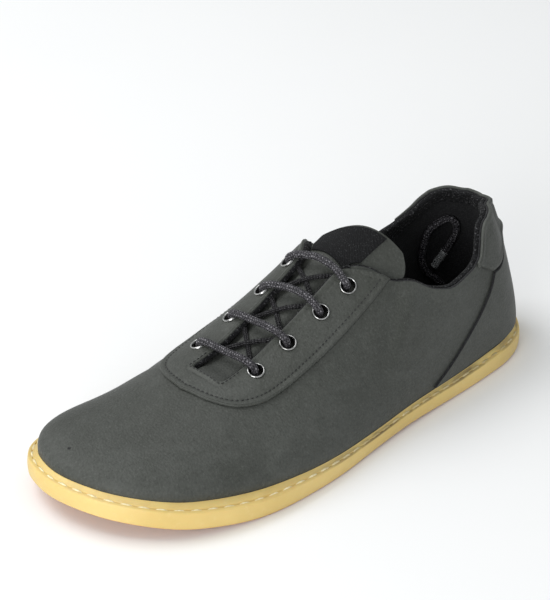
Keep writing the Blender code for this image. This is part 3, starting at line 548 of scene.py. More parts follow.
# creases: side, w and h of the start and of the end, half width and height in metres;
# a trough is below zero
CREASES = (
    (1, 0.395, 0.60, 0.470, 0.36, 0.0050, -0.0007),
    (1, 0.372, 0.55, 0.440, 0.34, 0.0045, 0.0006),
    (1, 0.330, 0.62, 0.372, 0.40, 0.0060, -0.0006),
    (1, 0.690, 0.46, 0.735, 0.20, 0.0060, -0.0005),
    (1, 0.655, 0.40, 0.700, 0.14, 0.0060, 0.0004),
    (1, 0.725, 0.74, 0.760, 0.42, 0.0050, 0.0004),
    (-1, 0.690, 0.52, 0.735, 0.22, 0.0060, -0.0005),
    (-1, 0.650, 0.46, 0.700, 0.16, 0.0060, 0.0004),
    (-1, 0.380, 0.60, 0.450, 0.40, 0.0050, -0.0006),
    (1, 0.060, 0.62, 0.140, 0.50, 0.0060, -0.0005),
    (-1, 0.060, 0.62, 0.140, 0.50, 0.0060, -0.0005),
)
CREASE_SHARE = 1.5
# no crease where the two halves meet behind
CREASE_START = 0.03
# rough length of a step of 1 in w and in h
W_SCALE = LENGTH * 1.18
H_SCALE = 0.100


def crease_lift(w, h, side):
    """Extra height of the leather at arrays of w and h."""
    lift = np.zeros_like(w)
    for crease_side, w0, h0, w1, h1, width, height in CREASES:
        if crease_side != side:
            continue
        start = np.array([w0 * W_SCALE, h0 * H_SCALE])
        run = np.array([w1 * W_SCALE, h1 * H_SCALE]) - start
        u = w * W_SCALE - start[0]
        v = h * H_SCALE - start[1]
        t = np.clip((u * run[0] + v * run[1]) / (run @ run), 0.0, 1.0)
        gap = np.hypot(u - t * run[0], v - t * run[1])
        fade = np.sin(np.pi * np.clip(t, 0.02, 0.98)) ** 0.5
        lift += CREASE_SHARE * height * fade * bell(gap, width)
    return lift * np.clip(w / CREASE_START, 0.0, 1.0) ** 2


def on_last(w, h, side, lift=0.0, creased=True):
    """World points and normals at arrays of w and h and a lift above the last."""
    w = np.atleast_1d(np.asarray(w, float))
    h = np.atleast_1d(np.asarray(h, float))
    points = grid_read(LAST[side], w, h)
    normals = grid_read(NORMALS[side], w, np.minimum(h, 0.995))
    normals /= np.linalg.norm(normals, axis=-1)[..., None]
    total = lift + (crease_lift(w, h, side) if creased else 0.0)
    points = points + normals * np.broadcast_to(total, w.shape)[..., None]
    flip = np.array([1.0, -1.0, 1.0])
    return to_world(points), normals * flip


def topline_rows(side):
    """Rows of (w, h) along the collar and the throat's edge on one side."""
    column = 1 if side > 0 else 2
    rows = [(row[0], h_at_height(row[0], side, row[column] * HEEL_HEIGHT)) for row in COLLAR]
    rows += [(row[0], h_at_distance(row[0], side, row[1] * THROAT_HALF_WIDTH)) for row in FACING[side]]
    return np.array(rows)


TOPLINE = {side: topline_rows(side) for side in SIDES}


def edge_h(w, side):
    """Where a rib's side part ends: the topline, or in front of it the line that continues it."""
    if w <= W_THROAT:
        return float(read(TOPLINE[side], 1, w))
    own = h_at_distance(min(w, W_TOE), side, FACING[side][-1, 1] * THROAT_HALF_WIDTH)
    if w <= W_TOE:
        return own
    other = h_at_distance(W_TOE, -side, FACING[-side][-1, 1] * THROAT_HALF_WIDTH)
    ahead = (w - W_TOE) / (1.0 - W_TOE)
    return own * (1 - 0.5 * ahead) + other * 0.5 * ahead


def finish_mesh(name, verts, faces, materials, indices=None, angle=35):
    """Object from points and faces with outward faces and smooth shading."""
    mesh = bpy.data.meshes.new(name)
    mesh.from_pydata([tuple(map(float, v)) for v in verts], [], faces)
    for item in materials:
        mesh.materials.append(item)
    if indices is not None:
        mesh.polygons.foreach_set("material_index", indices)
    bm = bmesh.new()
    bm.from_mesh(mesh)
    bmesh.ops.recalc_face_normals(bm, faces=bm.faces)
    bm.to_mesh(mesh)
    bm.free()
    mesh.shade_smooth()
    mesh.set_sharp_from_angle(angle=math.radians(angle))
    obj = bpy.data.objects.new(name, mesh)
    bpy.context.scene.collection.objects.link(obj)
    return obj


def keep(obj, slot, *replaced):
    """Rides on the shoe and hides the solids that it stands for."""
    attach(obj, "root")
    if replaced:
        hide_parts(*replaced)
    return obj


def grid_faces(rows, columns, base=0, flip=False):
    """Quads of a grid of points."""
    faces = []
    for i in range(rows - 1):
        for j in range(columns - 1):
            a = base + i * columns + j
            face = [a, a + 1, a + columns + 1, a + columns]
            faces.append(face[::-1] if flip else face)
    return faces


def patch(rows, side):
    """Patch of the last from rows of (w, h): arrays of w and h and the side."""
    w = np.array([[item[0] for item in row] for row in rows])
    h = np.array([[item[1] for item in row] for row in rows])
    return w, h, side


def strip_patches(places, edges, count):
    """Patches of both halves between the two values of h that edges(w, side) gives."""
    patches = []
    for side in SIDES:
        rows = []
        for w in places:
            low, high = edges(w, side)
            rows.append([(w, low + share * (high - low)) for share in spread(0.0, 1.0, count)])
        patches.append(patch(rows, side))
    return patches


# points nearer than this are one point, and the number of faces across a sheet's rim
MERGE = 2e-6
RIM_FACES = 5


def sheet_points(patches, high, extra, skirt):
    """Points, normals, outer lifts and faces of all patches, with equal points still apart."""
    points = []
    normals = []
    tops = []
    faces = []
    for w, h, side in patches:
        base = sum(len(item) for item in points)
        below = np.maximum(-h, 0.0)
        p, n = on_last(w, np.maximum(h, 0.0), side)
        if skirt is not None:
            flat = n * np.array([1.0, 1.0, 0.0])
            flat /= np.maximum(np.linalg.norm(flat, axis=-1), 1e-9)[..., None]
            n = np.where(below[..., None] > 0, flat, n)
            p = p - np.array([0.0, 0.0, 1.0]) * (below * skirt)[..., None]
        top = np.full(w.shape, high) + (extra(w, h, side) if extra else 0.0)
        points.append(p.reshape(-1, 3))
        normals.append(n.reshape(-1, 3))
        tops.append(top.ravel())
        faces += grid_faces(w.shape[0], w.shape[1], base, flip=side < 0)
    return np.vstack(points), np.vstack(normals), np.concatenate(tops), faces


def merge_points(points, normals, tops, faces):
    """The same with equal points merged, and with faces that wind so that they look outwards."""
    cells = np.round(points / MERGE).astype(np.int64)
    _, first, inverse = np.unique(cells, axis=0, return_index=True, return_inverse=True)
    inverse = inverse.ravel()
    merged = np.zeros((len(first), 3))
    np.add.at(merged, inverse, normals)
    points = points[first]
    normals = merged / np.maximum(np.linalg.norm(merged, axis=1), 1e-12)[:, None]
    clean = []
    for face in faces:
        face = [int(inverse[k]) for k in face]
        face = [k for i, k in enumerate(face) if face[i - 1] != k]
        if len(face) > 2:
            clean.append(face)
    sample = clean[len(clean) // 2]
    a, b, c = (points[k] for k in sample[:3])
    if np.cross(b - a, c - b) @ normals[sample[1]] < 0:
        clean = [face[::-1] for face in clean]
    return points, normals, tops[first], clean


def rim_of(points, normals, faces):
    """Open edges of a sheet, their points, and the directions there that point out of the sheet."""
    edges = {}
    for face in faces:
        for i, k in enumerate(face):
            edges[(face[i - 1], k)] = 1
    border = [edge for edge in edges if (edge[1], edge[0]) not in edges]
    out = np.zeros_like(points)
    for i, k in border:
        side_way = np.cross(points[k] - points[i], normals[i] + normals[k])
        out[i] += side_way
        out[k] += side_way
    on_border = sorted({k for edge in border for k in edge})
    length = np.linalg.norm(out[on_border], axis=1)
    out[on_border] /= np.maximum(length, 1e-12)[:, None]
    return border, on_border, out


def gaps_to(rim_points, points):
    """Distance of each point to the nearest point of the rim."""
    tree = KDTree(len(rim_points))
    for i, point in enumerate(rim_points):
        tree.insert(point, i)
    tree.balance()
    return np.array([tree.find(point)[2] for point in points])


def shell(name, patches, high, low, materials, rim_share=1.0, profile=None, extra=None, skirt=None):
    """Closed sheet with rounded rims between two lifts over patches of the last.

    materials are those of the outside, the rim and the inside. profile gives extra lift on the
    outside by the distance to the sheet's edge, extra the same by (w, h, side), and skirt moves
    points with h below zero straight down by that many metres.
    """
    points, normals, tops, faces = merge_points(*sheet_points(patches, high, extra, skirt))
    border, on_border, out = rim_of(points, normals, faces)
    if profile is not None:
        tops = tops + profile(gaps_to(points[on_border], points))
    half = (tops - low) / 2
    middle = (tops + low) / 2
    round_off = rim_share * half
    verts_top = points + normals * tops[:, None]
    verts_low = points + normals * low
    for k in on_border:
        verts_top[k] -= out[k] * round_off[k]
        verts_low[k] -= out[k] * round_off[k]
    count = len(points)
    verts = [verts_top, verts_low]
    index = {k: i for i, k in enumerate(on_border)}
    for step in range(1, RIM_FACES):
        angle = math.pi * step / RIM_FACES
        ring = []
        for k in on_border:
            rise = normals[k] * (middle[k] + half[k] * math.cos(angle))
            ring.append(points[k] + rise + out[k] * round_off[k] * (math.sin(angle) - 1))
        verts.append(np.array(ring))
    size = len(on_border)
    all_faces = [list(face) for face in faces]
    indices = [0] * len(faces)
    all_faces += [[k + count for k in reversed(face)] for face in faces]
    indices += [len(materials) - 1] * len(faces)

    def vert(level, k):
        if level == 0:
            return k
        if level == RIM_FACES:
            return k + count
        return 2 * count + (level - 1) * size + index[k]

    for i, k in border:
        for level in range(RIM_FACES):
            all_faces.append([vert(level, k), vert(level, i), vert(level + 1, i), vert(level + 1, k)])
            indices.append(min(1, len(materials) - 1) if len(materials) > 2 else 0)
    return finish_mesh(name, np.vstack(verts), all_faces, materials, indices)


def cut(obj, cutter):
    """Cuts an object with another and leaves plain geometry."""
    modifier = obj.modifiers.new("cut", "BOOLEAN")
    modifier.operation = "DIFFERENCE"
    modifier.solver = "EXACT"
    modifier.object = cutter
    bpy.context.view_layer.update()
    graph = bpy.context.evaluated_depsgraph_get()
    mesh = bpy.data.meshes.new_from_object(obj.evaluated_get(graph))
    obj.modifiers.remove(modifier)
    old = obj.data
    obj.data = mesh
    bpy.data.meshes.remove(old)


# how far a tube's end bulges, as a share of its radius
TUBE_END = 0.3


def tube(name, points, radius, sides, material):
    """Round tube along points, with UVs: u in diameters along it and v round it."""
    points = np.asarray(points, float)
    count = len(points)
    radii = np.broadcast_to(np.asarray(radius, float), (count,))
    ahead = np.gradient(points, axis=0)
    ahead /= np.linalg.norm(ahead, axis=1)[:, None]
    side_way = np.cross(ahead[0], (0.0, 0.0, 1.0))
    if np.linalg.norm(side_way) < 1e-6:
        side_way = np.array([1.0, 0.0, 0.0])
    frames = []
    for i in range(count):
        side_way = side_way - ahead[i] * (side_way @ ahead[i])
        side_way /= np.linalg.norm(side_way)
        frames.append((side_way, np.cross(side_way, ahead[i])))
    verts = []
    for i in range(count):
        first, second = frames[i]
        for k in range(sides):
            angle = 2 * math.pi * k / sides
            verts.append(points[i] + radii[i] * (math.cos(angle) * first + math.sin(angle) * second))
    faces = []
    for i in range(count - 1):
        for k in range(sides):
            m = (k + 1) % sides
            faces.append([i * sides + k, i * sides + m, (i + 1) * sides + m, (i + 1) * sides + k])
    run = run_along(points)
    uvs = []
    for i in range(count - 1):
        for k in range(sides):
            u0 = run[i] / LACE_DIAMETER
            u1 = run[i + 1] / LACE_DIAMETER
            uvs += [(u0, k / sides), (u0, (k + 1) / sides), (u1, (k + 1) / sides), (u1, k / sides)]
    start = len(verts)
    verts.append(points[0] - ahead[0] * radii[0] * TUBE_END)
    verts.append(points[-1] + ahead[-1] * radii[-1] * TUBE_END)
    tail = (count - 1) * sides
    last_u = run[-1] / LACE_DIAMETER
    for k in range(sides):
        m = (k + 1) % sides
        faces.append([start, m, k])
        faces.append([start + 1, tail + k, tail + m])
        uvs += [(0.0, 0.5), (0.0, m / sides), (0.0, k / sides)]
        uvs += [(last_u, 0.5), (last_u, k / sides), (last_u, m / sides)]
    mesh = bpy.data.meshes.new(name)
    mesh.from_pydata([tuple(map(float, v)) for v in verts], [], faces)
    layer = mesh.uv_layers.new(name="UVMap")
    for loop, uv in zip(layer.data, uvs):
        loop.uv = uv
    mesh.materials.append(material)
    mesh.shade_smooth()
    obj = bpy.data.objects.new(name, mesh)
    bpy.context.scene.collection.objects.link(obj)
    return obj


def join(name, objects):
    """One object from several."""
    bm = bmesh.new()
    for obj in objects:
        bm.from_mesh(obj.data)
    mesh = bpy.data.meshes.new(name)
    bm.to_mesh(mesh)
    bm.free()
    for item in objects[0].data.materials:
        mesh.materials.append(item)
    for obj in objects:
        old = obj.data
        bpy.data.objects.remove(obj, do_unlink=True)
        bpy.data.meshes.remove(old)
    whole = bpy.data.objects.new(name, mesh)
    bpy.context.scene.collection.objects.link(whole)
    return whole


def smooth_route(points, spacing):
    """Evenly spaced points on a smooth curve through chosen points."""
    points = np.array(points, float)
    run = run_along(points)
    slopes = np.empty_like(points)
    slopes[1:-1] = (points[2:] - points[:-2]) / (run[2:] - run[:-2])[:, None]
    slopes[0] = (points[1] - points[0]) / (run[1] - run[0])
    slopes[-1] = (points[-1] - points[-2]) / (run[-1] - run[-2])
    at = np.linspace(0.0, run[-1], max(3, int(round(run[-1] / spacing)) + 1))
    i = np.clip(np.searchsorted(run, at, side="right") - 1, 0, len(run) - 2)
    span = (run[i + 1] - run[i])[:, None]
    t = ((at - run[i]) / span[:, 0])[:, None]
    return hermite(t, span, points[i], points[i + 1], slopes[i], slopes[i + 1])


def point_along(at, run, points):
    """Point of a line at a length along it."""
    return np.array([np.interp(at, run, points[:, k]) for k in range(3)])


STITCH_RINGS = 6
STITCH_SIDES = 6


def stitches(name, points, normals, size, material, slot, bulge):
    """Row of thread stitches along a line, each one dipping into the material at both ends.

    size holds the pitch, the length of a stitch and the thread's radius.
    """
    pitch, length, radius = size
    rings = STITCH_RINGS
    sides = STITCH_SIDES
    points = np.asarray(points)
    normals = np.asarray(normals)
    run = run_along(points)
    verts = []
    faces = []
    count = int(run[-1] // pitch)
    for number in range(count):
        start = (number + 0.5) * run[-1] / count - length / 2
        base = len(verts)
        for i in range(rings):
            t = i / (rings - 1)
            at = start + length * t
            centre = point_along(at, run, points)
            normal = point_along(at, run, normals)
            normal /= np.linalg.norm(normal)
            ahead = point_along(at + 1e-4, run, points) - point_along(at - 1e-4, run, points)
            ahead /= np.linalg.norm(ahead)
            across = np.cross(ahead, normal)
            arch = math.sin(math.pi * t)
            thick = radius * (0.55 + 0.45 * arch**0.5)
            centre = centre + normal * (radius * bulge * (2 * arch**0.7 - 1.1))
            for k in range(sides):
                angle = 2 * math.pi * k / sides
                verts.append(centre + thick * (math.cos(angle) * across + math.sin(angle) * normal))
        for i in range(rings - 1):
            for k in range(sides):
                m = (k + 1) % sides
                a = base + i * sides
                faces.append([a + k, a + m, a + sides + m, a + sides + k])
        faces.append([base + k for k in range(sides)][::-1])
        faces.append([base + (rings - 1) * sides + k for k in range(sides)])
    return keep(finish_mesh(name, verts, faces, [material], angle=80), slot)


# materials

# small marks on the leather: place, radius and colour
SPECKS = (
    ((-0.0157, -0.1289, 0.0288), 0.0011, (0.004, 0.004, 0.004)),
    ((0.0430, -0.0673, 0.0214), 0.0008, (0.34, 0.34, 0.33)),
)
SPECK_CORE = 0.55
# the lace's braid: waves in a length of one diameter, and strands round it
BRAID_WAVES = 1.3
BRAID_TURNS = 4.0
# the label's weave: waves a metre across and down
WEAVE_ACROSS = 1250.0
WEAVE_DOWN = 1100.0


class Nodes:
    """Short calls that build a Principled material."""

    def __init__(self, name, colour, roughness, **inputs):
        self.material = bpy.data.materials.new(name)
        self.material.use_nodes = True
        self.tree = self.material.node_tree
        self.shader = self.tree.nodes["Principled BSDF"]
        self.shader.inputs["Base Color"].default_value = (*colour, 1.0)
        self.shader.inputs["Roughness"].default_value = roughness
        for key, value in inputs.items():
            self.shader.inputs[key.replace("_", " ")].default_value = value
        coordinates = self.tree.nodes.new("ShaderNodeTexCoord")
        self.place = coordinates.outputs["Object"]
        self.uv = coordinates.outputs["UV"]
        self.height = None

    def link(self, source, target):
        self.tree.links.new(source, target)

    def stretch(self, source, scale):
        node = self.tree.nodes.new("ShaderNodeMapping")
        node.inputs["Scale"].default_value = scale
        self.link(source, node.inputs["Vector"])
        return node.outputs["Vector"]

    def noise(self, scale, detail=4.0, rough=0.55, source=None, distortion=0.0):
        node = self.tree.nodes.new("ShaderNodeTexNoise")
        node.inputs["Scale"].default_value = scale
        node.inputs["Detail"].default_value = detail
        node.inputs["Roughness"].default_value = rough
        node.inputs["Distortion"].default_value = distortion
        self.link(source or self.place, node.inputs["Vector"])
        return node.outputs["Fac"]

    def cells(self, scale):
        node = self.tree.nodes.new("ShaderNodeTexVoronoi")
        node.inputs["Scale"].default_value = scale
        self.link(self.place, node.inputs["Vector"])
        return node.outputs["Distance"]

    def map(self, source, low, high, to_low=0.0, to_high=1.0):
        node = self.tree.nodes.new("ShaderNodeMapRange")
        node.inputs["From Min"].default_value = low
        node.inputs["From Max"].default_value = high
        node.inputs["To Min"].default_value = to_low
        node.inputs["To Max"].default_value = to_high
        self.link(source, node.inputs["Value"])
        return node.outputs["Result"]

    def math(self, operation, first, second=None, third=None):
        node = self.tree.nodes.new("ShaderNodeMath")
        node.operation = operation
        for socket, value in zip(node.inputs, (first, second, third)):
            if value is None:
                continue
            if isinstance(value, (int, float)):
                socket.default_value = value
            else:
                self.link(value, socket)
        return node.outputs[0]

    def axis(self, source, name):
        node = self.tree.nodes.new("ShaderNodeSeparateXYZ")
        self.link(source, node.inputs[0])
        return node.outputs[name]

    def facing_up(self):
        """One on faces that look up, minus one on those that look down."""
        node = self.tree.nodes.new("ShaderNodeNewGeometry")
        return self.axis(node.outputs["Normal"], "Z")

    def spot(self, place, radius):
        """One at a place of the shoe, falling to nothing at a radius from it."""
        node = self.tree.nodes.new("ShaderNodeVectorMath")
        node.operation = "DISTANCE"
        node.inputs[1].default_value = place
        self.link(self.place, node.inputs[0])
        return self.map(node.outputs["Value"], SPECK_CORE * radius, radius, 1.0, 0.0)

    def mix(self, factor, first, second):
        node = self.tree.nodes.new("ShaderNodeMix")
        node.data_type = "RGBA"
        self.link(factor, node.inputs["Factor"])
        for socket, value in ((node.inputs["A"], first), (node.inputs["B"], second)):
            if isinstance(value, tuple):
                socket.default_value = (*value, 1.0)
            else:
                self.link(value, socket)
        return node.outputs["Result"]

    def colour(self, source):
        self.link(source, self.shader.inputs["Base Color"])

    def roughness(self, source):
        self.link(source, self.shader.inputs["Roughness"])

    def bump(self, source, distance, strength=1.0):
        node = self.tree.nodes.new("ShaderNodeBump")
        node.inputs["Strength"].default_value = strength
        node.inputs["Distance"].default_value = distance
        self.link(source, node.inputs["Height"])
        if self.height is not None:
            self.link(self.height, node.inputs["Normal"])
        self.height = node.outputs["Normal"]
        self.link(self.height, self.shader.inputs["Normal"])


def tinted(tint, *colour):
    """A colour made lighter or darker."""
    return tuple(part * tint for part in colour)


def leather_material(name, tint=1.0, fold=0.0, throat=1.0):
    """Dark waxed nubuck: mottled and finely grained; a throat below one paints shade into it down in the
    throat.
    """
    base = tinted(tint, 0.054, 0.057, 0.050)
    n = Nodes(name, base, 0.60, Specular_IOR_Level=0.32, Sheen_Weight=0.03, Sheen_Roughness=0.5)
    clouds = n.noise(20.0, 5.0, 0.62)
    grain = n.noise(760.0, 3.0, 0.7)
    mottle = n.noise(170.0, 4.0, 0.65)
    streaks = n.noise(60.0, 4.0, 0.6, n.stretch(n.place, (1.0, 0.35, 1.4)), 0.6)
    light = tinted(tint, 0.070, 0.074, 0.067)
    dark = tinted(tint, 0.042, 0.045, 0.038)
    colour = n.mix(n.map(clouds, 0.33, 0.68), dark, light)
    colour = n.mix(n.map(mottle, 0.35, 0.65, 0.35, 0.0), colour, tinted(tint, 0.036, 0.039, 0.034))
    colour = n.mix(n.map(streaks, 0.52, 0.74, 0.0, 0.35), colour, tinted(tint, 0.088, 0.092, 0.085))
    colour = n.mix(n.map(grain, 0.54, 0.74, 0.0, 0.45), colour, tinted(tint, 0.105, 0.110, 0.102))
    colour = n.mix(n.map(grain, 0.46, 0.28, 0.0, 0.55), colour, tinted(tint, 0.022, 0.023, 0.020))
    if throat < 1.0:
        # painted shade: the leather turns darker and bluer down in the throat, where the facings shade it
        down = n.map(n.axis(n.place, "Y"), 0.024, 0.010, 0.0, 1.0 - throat)
        colour = n.mix(down, colour, (0.010, 0.012, 0.016))
    for place, radius, speck in SPECKS:
        colour = n.mix(n.spot(place, radius), colour, speck)
    n.colour(colour)
    n.roughness(n.map(clouds, 0.3, 0.75, 0.50, 0.68))
    n.bump(n.noise(54.0, 3.0, 0.5, n.stretch(n.place, (1.0, 0.5, 1.0))), 0.0012, 0.35 + fold)
    n.bump(mottle, 0.0005, 0.25)
    n.bump(n.cells(900.0), 0.00026, 0.60)
    n.bump(n.noise(2600.0, 3.0, 0.6), 0.00014, 0.5)
    return n.material


def lining_material():
    """Black textile lining."""
    n = Nodes("lining_textile", (0.008, 0.008, 0.008), 0.95, Sheen_Weight=0.08, Sheen_Roughness=0.5)
    weave = n.noise(1400.0, 2.0, 0.6)
    n.colour(n.mix(n.map(weave, 0.45, 0.8), (0.004, 0.004, 0.005), (0.030, 0.031, 0.033)))
    n.bump(weave, 0.0003, 0.7)
    return n.material


def pile_material():
    """Looped black pile along the collar with pale specks."""
    n = Nodes("collar_pile", (0.008, 0.008, 0.009), 0.95, Specular_IOR_Level=0.2, Sheen_Weight=0.05)
    loops = n.cells(700.0)
    specks = n.noise(1100.0, 3.0, 0.7)
    colour = n.mix(n.map(loops, 0.1, 0.7, 0.5, 0.0), (0.003, 0.003, 0.0035), (0.016, 0.0165, 0.018))
    n.colour(n.mix(n.map(specks, 0.575, 0.70, 0.0, 0.9), colour, (0.15, 0.15, 0.155)))
    n.bump(loops, 0.0006, 0.8)
    n.bump(specks, 0.0003, 0.8)
    return n.material


def gum_material():
    """Honey gum rubber, darker and redder underneath, soiled on the ledge at the waist."""
    n = Nodes("gum", (0.70, 0.51, 0.19), 0.46, Specular_IOR_Level=0.4, Subsurface_Weight=0.12,
              Subsurface_Scale=0.004)
    n.shader.inputs["Subsurface Radius"].default_value = (1.0, 0.45, 0.18)
    clouds = n.noise(14.0, 4.0, 0.6)
    fine = n.noise(260.0, 4.0, 0.65)
    colour = n.mix(n.map(clouds, 0.35, 0.7), (0.64, 0.46, 0.150), (0.76, 0.57, 0.220))
    colour = n.mix(n.map(fine, 0.55, 0.8, 0.0, 0.35), colour, (0.78, 0.62, 0.31))
    up = n.map(n.facing_up(), 0.25, 0.75)
    grime = n.noise(46.0, 5.0, 0.65, n.stretch(n.place, (1.0, 0.45, 1.0)), 0.8)
    along = n.axis(n.place, "Y")
    waist = n.math("MULTIPLY", n.map(along, -0.055, 0.005), n.map(along, 0.135, 0.085))
    stain = n.math("MULTIPLY", n.map(grime, 0.40, 0.60), n.math("MULTIPLY", waist, up))
    colour = n.mix(n.math("MULTIPLY", stain, 0.85), colour, (0.120, 0.092, 0.042))
    light_grime = n.math("MULTIPLY", n.map(grime, 0.52, 0.75, 0.0, 0.35), up)
    colour = n.mix(light_grime, colour, (0.36, 0.22, 0.10))
    under = n.map(n.facing_up(), -0.25, -0.75)
    colour = n.mix(under, colour, (0.56, 0.27, 0.12))
    n.colour(colour)
    n.roughness(n.map(clouds, 0.3, 0.7, 0.40, 0.55))
    n.bump(n.noise(120.0, 4.0, 0.6), 0.0004, 0.25)
    n.bump(fine, 0.00025, 0.3)
    return n.material


def thread_material(name, light, dark, soil=None):
    """Waxed sewing thread, soiled behind the ball of the foot where a soil colour is given."""
    n = Nodes(name, light, 0.6)
    colour = n.mix(n.map(n.noise(900.0), 0.35, 0.65), dark, light)
    if soil:
        behind = n.map(n.axis(n.place, "Y"), -0.045, 0.005)
        patchy = n.map(n.noise(70.0, 3.0, 0.6), 0.35, 0.6, 0.45, 1.0)
        colour = n.mix(n.math("MULTIPLY", behind, patchy), colour, soil)
    n.colour(colour)
    n.bump(n.noise(2500.0), 0.0002, 0.7)
    return n.material


def lace_material(name, tint=1.0):
    """Braided waxed cord: crossing strands with pale flecks."""
    n = Nodes(name, tinted(tint, 0.045, 0.043, 0.048), 0.60, Specular_IOR_Level=0.4)
    u = n.math("MULTIPLY_ADD", n.noise(380.0, 2.0), 0.55, n.axis(n.uv, "X"))
    v = n.math("MULTIPLY_ADD", n.noise(330.0, 2.0), 0.16, n.axis(n.uv, "Y"))
    lead = n.math("MULTIPLY", u, 2 * math.pi * BRAID_WAVES)
    one = n.math("SINE", n.math("MULTIPLY_ADD", v, 2 * math.pi * BRAID_TURNS, lead))
    two = n.math("SINE", n.math("MULTIPLY_ADD", v, -2 * math.pi * BRAID_TURNS, lead))
    strands = n.math("MULTIPLY", one, two)
    ridges = n.math("MAXIMUM", n.math("ABSOLUTE", one), n.math("ABSOLUTE", two))
    deep = tinted(tint, 0.010, 0.009, 0.011)
    colour = n.mix(n.map(ridges, 0.45, 1.0), deep, tinted(tint, 0.060, 0.057, 0.065))
    uneven = n.noise(420.0, 3.0, 0.7)
    pale = n.math("MULTIPLY", n.map(strands, 0.10, 0.80), n.map(uneven, 0.42, 0.60))
    colour = n.mix(n.math("MULTIPLY", pale, 0.9), colour, tinted(tint, 0.33, 0.32, 0.34))
    n.colour(colour)
    n.bump(strands, 0.0007, 0.9)
    n.bump(n.noise(1500.0), 0.0002, 0.5)
    return n.material


def metal_material():
    """Polished nickel ring, slightly worn, painted darker than bare nickel to stand in for the dark
    surroundings that it reflects.
    """
    # painted reflection: both of the nickel's colours are darker than bare nickel, standing in for the dark
    # surroundings that the ring reflects
    n = Nodes("nickel", (0.42, 0.42, 0.41), 0.22, Metallic=1.0)
    wear = n.noise(500.0, 3.0, 0.6)
    n.colour(n.mix(n.map(wear, 0.4, 0.75), (0.50, 0.50, 0.49), (0.24, 0.24, 0.235)))
    n.roughness(n.map(wear, 0.3, 0.7, 0.14, 0.34))
    n.bump(wear, 0.00008, 0.4)
    return n.material


def webbing_material():
    """Black woven tape with fine pale specks."""
    n = Nodes("woven_tape", (0.008, 0.008, 0.009), 0.85, Specular_IOR_Level=0.2, Sheen_Weight=0.02)
    across = n.math("SINE", n.math("MULTIPLY", n.axis(n.place, "X"), 2 * math.pi * WEAVE_ACROSS))
    down = n.math("SINE", n.math("MULTIPLY", n.axis(n.place, "Z"), 2 * math.pi * WEAVE_DOWN))
    weave = n.math("MULTIPLY", across, down)
    grain = n.noise(1500.0, 3.0, 0.7)
    colour = n.mix(n.map(weave, -0.4, 1.0), (0.004, 0.004, 0.0045), (0.011, 0.0113, 0.012))
    n.colour(n.mix(n.map(grain, 0.58, 0.70, 0.0, 0.8), colour, (0.060, 0.061, 0.063)))
    n.bump(weave, 0.00012, 0.6)
    n.bump(grain, 0.0002, 0.6)
    return n.material


def sheath_material():
    """Clear plastic tip of the lace."""
    n = Nodes("clear_tip", (0.55, 0.57, 0.57), 0.10, Specular_IOR_Level=1.0, Coat_Weight=1.0,
              Coat_Roughness=0.05)
    wear = n.noise(420.0, 3.0, 0.6)
    n.shader.inputs["Alpha"].default_value = 0.42
    n.roughness(n.map(wear, 0.3, 0.7, 0.08, 0.28))
    n.bump(wear, 0.0002, 0.4)
    return n.material


LEATHER = leather_material("nubuck")
OVERLAY = leather_material("nubuck_overlay", 1.02)
# the tongue's leather, with painted shade down in the throat
TONGUE_SKIN = leather_material("nubuck_tongue", 0.97, 0.2, 0.92)
LINING = lining_material()
PILE = pile_material()
GUM = gum_material()
SOLE_THREAD = thread_material("sole_thread", (0.89, 0.81, 0.54), (0.70, 0.58, 0.32), (0.44, 0.34, 0.15))
DARK_THREAD = thread_material("dark_thread", (0.020, 0.020, 0.020), (0.010, 0.010, 0.010))
LACE = lace_material("braid")
# darker copy of the braid for the crossings: painted shade, as they lie deep under the bars and facings
SHADED_LACE = lace_material("braid_in_shade", 0.30)
NICKEL = metal_material()
TAPE = webbing_material()
SHEATH = sheath_material()


# camera: azimuth, elevation and roll in degrees, distance in metres, focal length in pixels of the
# 550 by 600 frame, the height of the target and the pixel that it falls on
AZIMUTH, ELEVATION, ROLL = 43.9, 30.75, 1.67
DISTANCE = 1.265
FOCAL_PIXELS = 2677.0
FRAME = (550, 600)
TARGET_HEIGHT = 0.030
TARGET_PIXEL = (298.3, 359.6)
SENSOR = 36.0


def add_camera():
    """Camera at the photograph's place, turned so that it needs no shift."""
    a, e, r = (math.radians(value) for value in (AZIMUTH, ELEVATION, ROLL))
    back = Vector((math.sin(a) * math.cos(e), -math.cos(a) * math.cos(e), math.sin(e)))
    centre = Vector((-MIDDLE_X, 0.0, TARGET_HEIGHT)) + DISTANCE * back
    level = Vector((math.cos(a), math.sin(a), 0.0))
    up = back.cross(level)
    right = level * math.cos(r) + up * math.sin(r)
    above = up * math.cos(r) - level * math.sin(r)
    off_x = (FRAME[0] / 2 - TARGET_PIXEL[0]) / FOCAL_PIXELS
    off_y = (FRAME[1] / 2 - TARGET_PIXEL[1]) / FOCAL_PIXELS
    look = (-back + right * off_x - above * off_y).normalized()
    right = (right - look * right.dot(look)).normalized()
    above = (-look).cross(right)
    data = bpy.data.cameras.new("camera")
    data.sensor_width = SENSOR
    data.lens = FOCAL_PIXELS * SENSOR / max(FRAME)
    data.clip_end = 20.0
    camera = bpy.data.objects.new("camera", data)
    rows = [(right[i], above[i], -look[i], centre[i]) for i in range(3)] + [(0, 0, 0, 1)]
    camera.matrix_world = Matrix(rows)
    bpy.context.scene.collection.objects.link(camera)
    bpy.context.scene.camera = camera


add_camera()


# clear tip: its length, its wall and how much that thins at its edge, and steps along the cord
TIP_LENGTH = 0.0115
TIP_WALL = 0.00035
TIP_EDGE = 0.00010
END_STEP = 0.0008
PATH_STEP = 0.004


